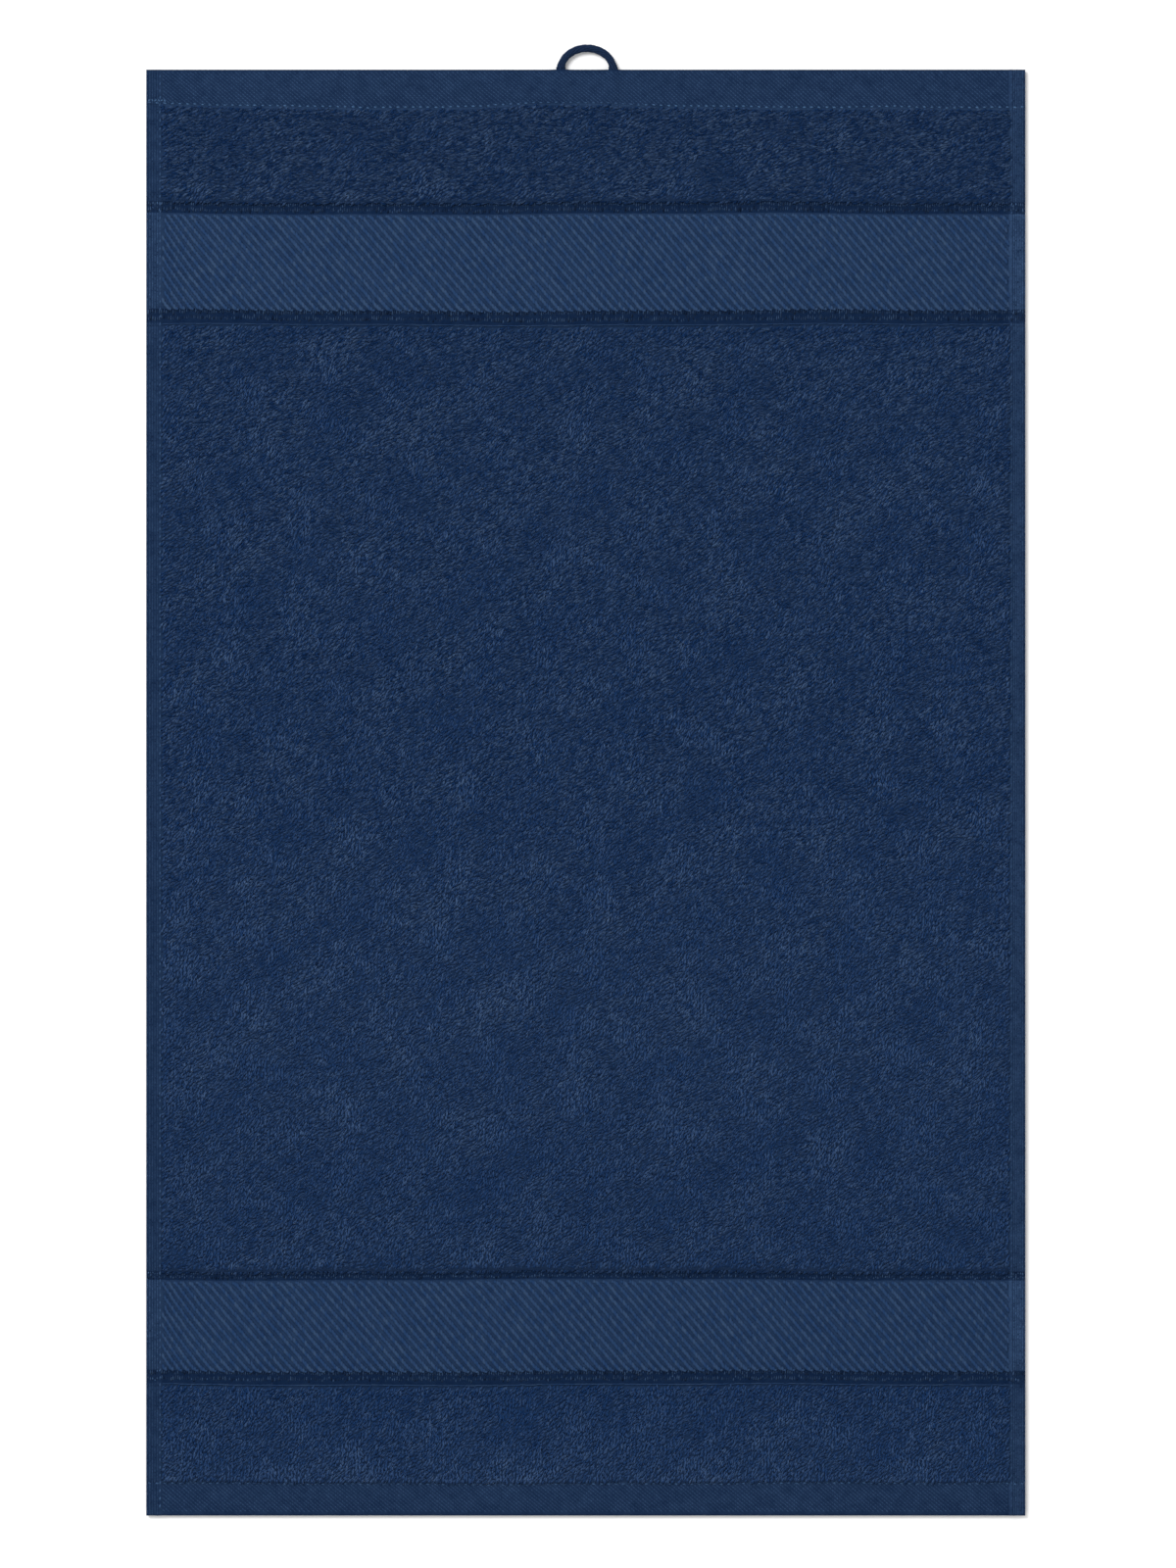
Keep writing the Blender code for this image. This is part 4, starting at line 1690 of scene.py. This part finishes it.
@dataclass
class CordSkin(Skin):
    """The outside of the loop's cord: along is its way, across is the way around it."""

    towel: Towel
    radius: float = 1.25 * MM
    height: float = 7.46 * MM  # of the centreline's crown over the towel's edge
    spread: float = 1.24  # how much wider the legs are pressed
    flatness: float = 0.52  # how much thinner
    press_length: float = 2.6 * MM
    parts: int = 400  # of the centreline
    probe: float = 0.3 * MM  # how far ahead and behind its direction is measured

    def __post_init__(self) -> None:
        """Lays the centreline: up the right leg, over the crown and down the left leg."""
        towel = self.towel
        angles = np.linspace(0, math.pi, self.parts)
        x = towel.loop_x + towel.loop_half_width * np.cos(angles)
        y = towel.top_edge + self.height * np.sin(angles)
        bottom = towel.top_edge - towel.leg_depth
        self.x = np.concatenate([[x[0]], x, [x[-1]]])
        self.y = np.concatenate([[bottom], y, [bottom]])
        self.way = np.concatenate([[0], np.cumsum(np.hypot(np.diff(self.x), np.diff(self.y)))])
        self.length = self.way[-1]

    def centre(self, along: np.ndarray) -> np.ndarray:
        """The centreline's x and y at distances along it."""
        return np.array([np.interp(along, self.way, line) for line in (self.x, self.y)])

    def place(self, along: np.ndarray, across: np.ndarray, height: np.ndarray) -> np.ndarray:
        """Points in the towel's frame, round the cord's centreline.

        Args:
            along: distances along the centreline.
            across: distances around the cord.
            height: heights over its outside.

        Returns:
            One row of x, y and z for each place.
        """
        towel = self.towel
        x, y = self.centre(along)
        ahead_x, ahead_y = self.centre(along + self.probe) - self.centre(along - self.probe)
        size = np.hypot(ahead_x, ahead_y)
        out_x, out_y = ahead_y / size, -ahead_x / size
        share = fade(y - towel.top_edge, self.press_length)
        around = across / self.radius
        reach = self.radius + height
        wide = reach * np.cos(around) * (1 + (self.spread - 1) * share)
        deep = reach * np.sin(around) * (1 + (self.flatness - 1) * share)
        return np.stack([x + out_x * wide, y + out_y * wide, towel.middle + deep], -1)


@dataclass
class HangingLoop:
    """A short braided cord, bent double and caught in the top hem."""

    towel: Towel
    core_sides: int = 12
    core_rings: int = 72
    core_depth: float = 0.12 * MM  # of the core below the cord's outside
    core_rise: float = 0.25  # how light the core is
    core_fill: float = 0.45  # how far it reaches from the middle of its bake map
    margin: float = 0.1 * MM  # of the core's ends inside the cord's cut ends
    carriers: int = 8  # strands side by side around the cord, for each way they wind
    plait: float = 1.3 * MM  # length of cord for each crossing
    wind: float = 33.0  # degrees that the strands turn from the cord's way
    pair_shift: float = 0.5  # how far every other pair of rows is turned round the cord, in strands
    way_shift: float = 0.25  # how far the rows of one way are turned beside the other's
    strand_length: float = 1.75 * MM
    strand_width: float = 0.72 * MM
    strand_height: float = 0.3 * MM
    crest: float = 0.1 * MM  # over the cord's outside
    uneven: float = 0.02 * MM
    tone_range: tuple[float, float] = (0.75, 1.1)
    seed: int = 61

    def build(self, finishes: dict[Finish, bpy.types.Material]) -> list[bpy.types.Object]:
        """Models the core and lays the braid on it.

        Args:
            finishes: the towel's materials.

        Returns:
            The core and the braid.
        """
        skin = CordSkin(self.towel)
        braid = ModelStrand(Knot.LONG).copies("cord_braid", self.strands(skin), skin)
        pieces = [
            show("cord_core", self.core(skin), finishes[Finish.CORD], Slot.CORD),
            show("cord_braid", braid, finishes[Finish.CORD], Slot.CORD),
        ]
        for piece in pieces:
            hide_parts("hanging_loop")
        return pieces

    def core(self, skin: CordSkin) -> bpy.types.Mesh:
        """A tube along the whole cord, closed at both ends.

        Args:
            skin: the cord's outside.

        Returns:
            The tube's mesh.
        """
        deselect()
        bpy.ops.mesh.primitive_cylinder_add(
            vertices=self.core_sides, radius=1, depth=2, end_fill_type="TRIFAN",
        )
        bpy.ops.object.mode_set(mode="EDIT")
        pick_points(lambda co: co.z > 0.5)
        for _ in range(self.core_rings):
            bpy.ops.mesh.extrude_region_move(TRANSFORM_OT_translate={"value": (0, 0, 1)})
        bpy.ops.mesh.select_all(action="SELECT")
        bpy.ops.mesh.normals_make_consistent(inside=False)
        bpy.ops.object.mode_set(mode="OBJECT")
        made = bpy.context.object
        mesh = made.data
        mesh.name = "cord_core"
        at = point_places(mesh)
        share = (at[:, 2] + 1) / (self.core_rings + 2)
        radius = np.hypot(at[:, 0], at[:, 1])
        around = np.arctan2(at[:, 1], at[:, 0])
        height = radius * (skin.radius - self.core_depth) - skin.radius
        along = self.margin + share * (skin.length - 2 * self.margin)
        points = skin.place(along, around * skin.radius, height)
        mesh.vertices.foreach_set("co", points.astype(np.float32).ravel())
        mesh.update()
        mesh.shade_smooth()
        set_values(mesh, "rise", np.full(len(at), self.core_rise))
        set_map(mesh, np.stack([share, 0.5 + self.core_fill * at[:, 0]], 1)[corner_points(mesh)])
        bpy.data.objects.remove(made)
        return mesh

    def strands(self, skin: CordSkin) -> Strands:
        """Short strands that wind to the left and to the right in turn.

        Args:
            skin: the cord's outside.

        Returns:
            The braid's strands.
        """
        rng = np.random.default_rng(self.seed)
        pitch = 2 * math.pi * skin.radius / self.carriers
        rows = np.arange(self.plait, skin.length - self.plait, self.plait / 2)
        row, column = pairs(np.arange(len(rows)), np.arange(self.carriers))
        side = np.where(row % 2 == 0, 1.0, -1.0)
        count = len(row)
        return Strands(
            along=rows[row],
            across=(column + (row // 2 % 2) * self.pair_shift + (row % 2) * self.way_shift) * pitch,
            crest=self.crest + rng.normal(0, self.uneven, count),
            turn=side * math.radians(self.wind),
            length=self.strand_length,
            width=self.strand_width,
            height=self.strand_height,
            bow=0.0,
            tone=rng.uniform(*self.tone_range, count),
        )


# ---------------------------------------------------------------- the studio


@dataclass
class Studio:
    """A pale floor, soft light and a camera straight above, as in the photograph."""

    towel: Towel
    photo_width: int = 1200
    photo_height: int = 1600
    scale: float = 0.33896 * MM  # a pixel's size on the cloth
    cloth_centre_x: float = 597.75  # the cloth's middle in the photograph, in pixels
    cloth_centre_y: float = 808.8
    lens: float = 100.0
    sensor: float = 36.0
    floor_size: float = 8.0
    floor_colour: Colour = (0.92, 0.92, 0.92)
    floor_roughness: float = 0.9
    floor_shine: float = 0.1
    sky: float = 0.8
    lamp_place: tuple[float, float, float] = (-1.0, 1.0, 2.0)
    lamp_size: float = 1.0
    lamp_energy: float = 45.0

    def build(self) -> None:
        """Makes the floor, the lights and the camera."""
        self.lay_floor()
        self.light()
        self.place_camera()

    def lay_floor(self) -> None:
        """A plain pale floor at the height that the towel rests on."""
        deselect()
        bpy.ops.mesh.primitive_plane_add(size=self.floor_size, location=(0, 0, 0))
        floor = bpy.context.object
        floor.name = "floor"
        graph = Graph("pale floor")
        graph.shader.inputs["Base Color"].default_value = (*self.floor_colour, 1)
        graph.shader.inputs["Roughness"].default_value = self.floor_roughness
        graph.shader.inputs["Specular IOR Level"].default_value = self.floor_shine
        floor.data.materials.append(graph.material)
        floor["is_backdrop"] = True

    def light(self) -> None:
        """An even white sky and one large soft lamp from the upper left."""
        world = bpy.data.worlds.new("studio")
        bpy.context.scene.world = world
        world.use_nodes = True
        background = world.node_tree.nodes["Background"]
        background.inputs["Color"].default_value = (1, 1, 1, 1)
        background.inputs["Strength"].default_value = self.sky
        deselect()
        bpy.ops.object.light_add(type="AREA", location=self.lamp_place)
        lamp = bpy.context.object
        lamp.name = "softbox"
        lamp.data.size = self.lamp_size
        lamp.data.energy = self.lamp_energy
        lamp.rotation_euler = (-Vector(self.lamp_place)).to_track_quat("-Z", "Y").to_euler()

    def place_camera(self) -> None:
        """The camera, straight down, with the cloth where the photograph has it."""
        cloth_middle = self.towel.top_edge - self.towel.length / 2
        x = (self.photo_width / 2 - self.cloth_centre_x) * self.scale
        y = cloth_middle + (self.cloth_centre_y - self.photo_height / 2) * self.scale
        height = self.photo_height * self.scale * self.lens / self.sensor
        data = bpy.data.cameras.new("camera")
        data.lens = self.lens
        data.sensor_width = self.sensor
        camera = bpy.data.objects.new("camera", data)
        camera.location = (x, y, height + self.towel.middle)
        bpy.context.scene.collection.objects.link(camera)
        bpy.context.scene.camera = camera
        bpy.context.scene.view_settings.view_transform = "Standard"


# ---------------------------------------------------------------- the whole towel


def strips(towel: Towel, count: int) -> Iterator[tuple[int, float, float]]:
    """The number, left side and right side of each upright strip of pile."""
    cuts = np.linspace(-towel.inner_half, towel.inner_half, count + 1)
    return zip(range(1, count + 1), cuts, cuts[1:])


def fields(towel: Towel) -> Iterator[YarnField]:
    """Every field of strands on the towel's two faces.

    Args:
        towel: the towel's layout.

    Yields:
        The fields, in the order that they are built.
    """
    for number, left, right in strips(towel, count=5):
        yield Pile(towel, f"front_pile_{number}", seed=100 + number, left=left, right=right)
    for number, left, right in strips(towel, count=3):
        yield BackPile(towel, f"back_pile_{number}", seed=110 + number, left=left, right=right)
    for number, (border, lightness) in enumerate((("upper_border", 0.98), ("lower_border", 0.9))):
        yield TwillFace(towel, border, seed=120 + number, lightness=lightness)
        yield TwillBack(towel, border + "_back", seed=130 + number, border=border)
    yield GrooveRibs(towel, "groove_ribs", seed=140)
    yield GrooveRibs(towel, "groove_ribs_back", seed=141, face=Face.BACK)
    yield WeftLines(towel, "weft_lines", seed=142)
    for number, hem in enumerate(("top_hem", "bottom_hem")):
        yield HemWeave(towel, hem + "_weave", seed=150 + number, hem=hem)
        yield HemWeave(towel, hem + "_weave_back", seed=160 + number, face=Face.BACK, hem=hem)
    yield SideRibs(towel, "side_ribs", seed=165)
    yield SideRibs(
        towel, "side_ribs_back", seed=166, face=Face.BACK, pitch=1.8 * MM, strand_length=2.6 * MM,
    )
    yield Stitches(towel, "stitches", seed=170)
    yield Stitches(towel, "stitches_back", seed=171, face=Face.BACK)


def write_sizes() -> None:
    """Works out the CAD model's box and the visual model's."""
    boxes = [[list(corner) for corner in box] for box in (CAD_BOX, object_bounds())]


def main() -> None:
    """Builds the towel and the studio, in order."""
    logging.basicConfig(level=logging.INFO, format="%(message)s")
    towel = Towel()
    finishes = {finish: finish.value.material() for finish in Finish}
    sheet = GroundSheet(towel).build(finishes)
    on_sheet = [yarn.build(finishes) for yarn in fields(towel)]
    HangingLoop(towel).build(finishes)
    Studio(towel).build()
    write_sizes()


if __name__ == "__main__":
    main()
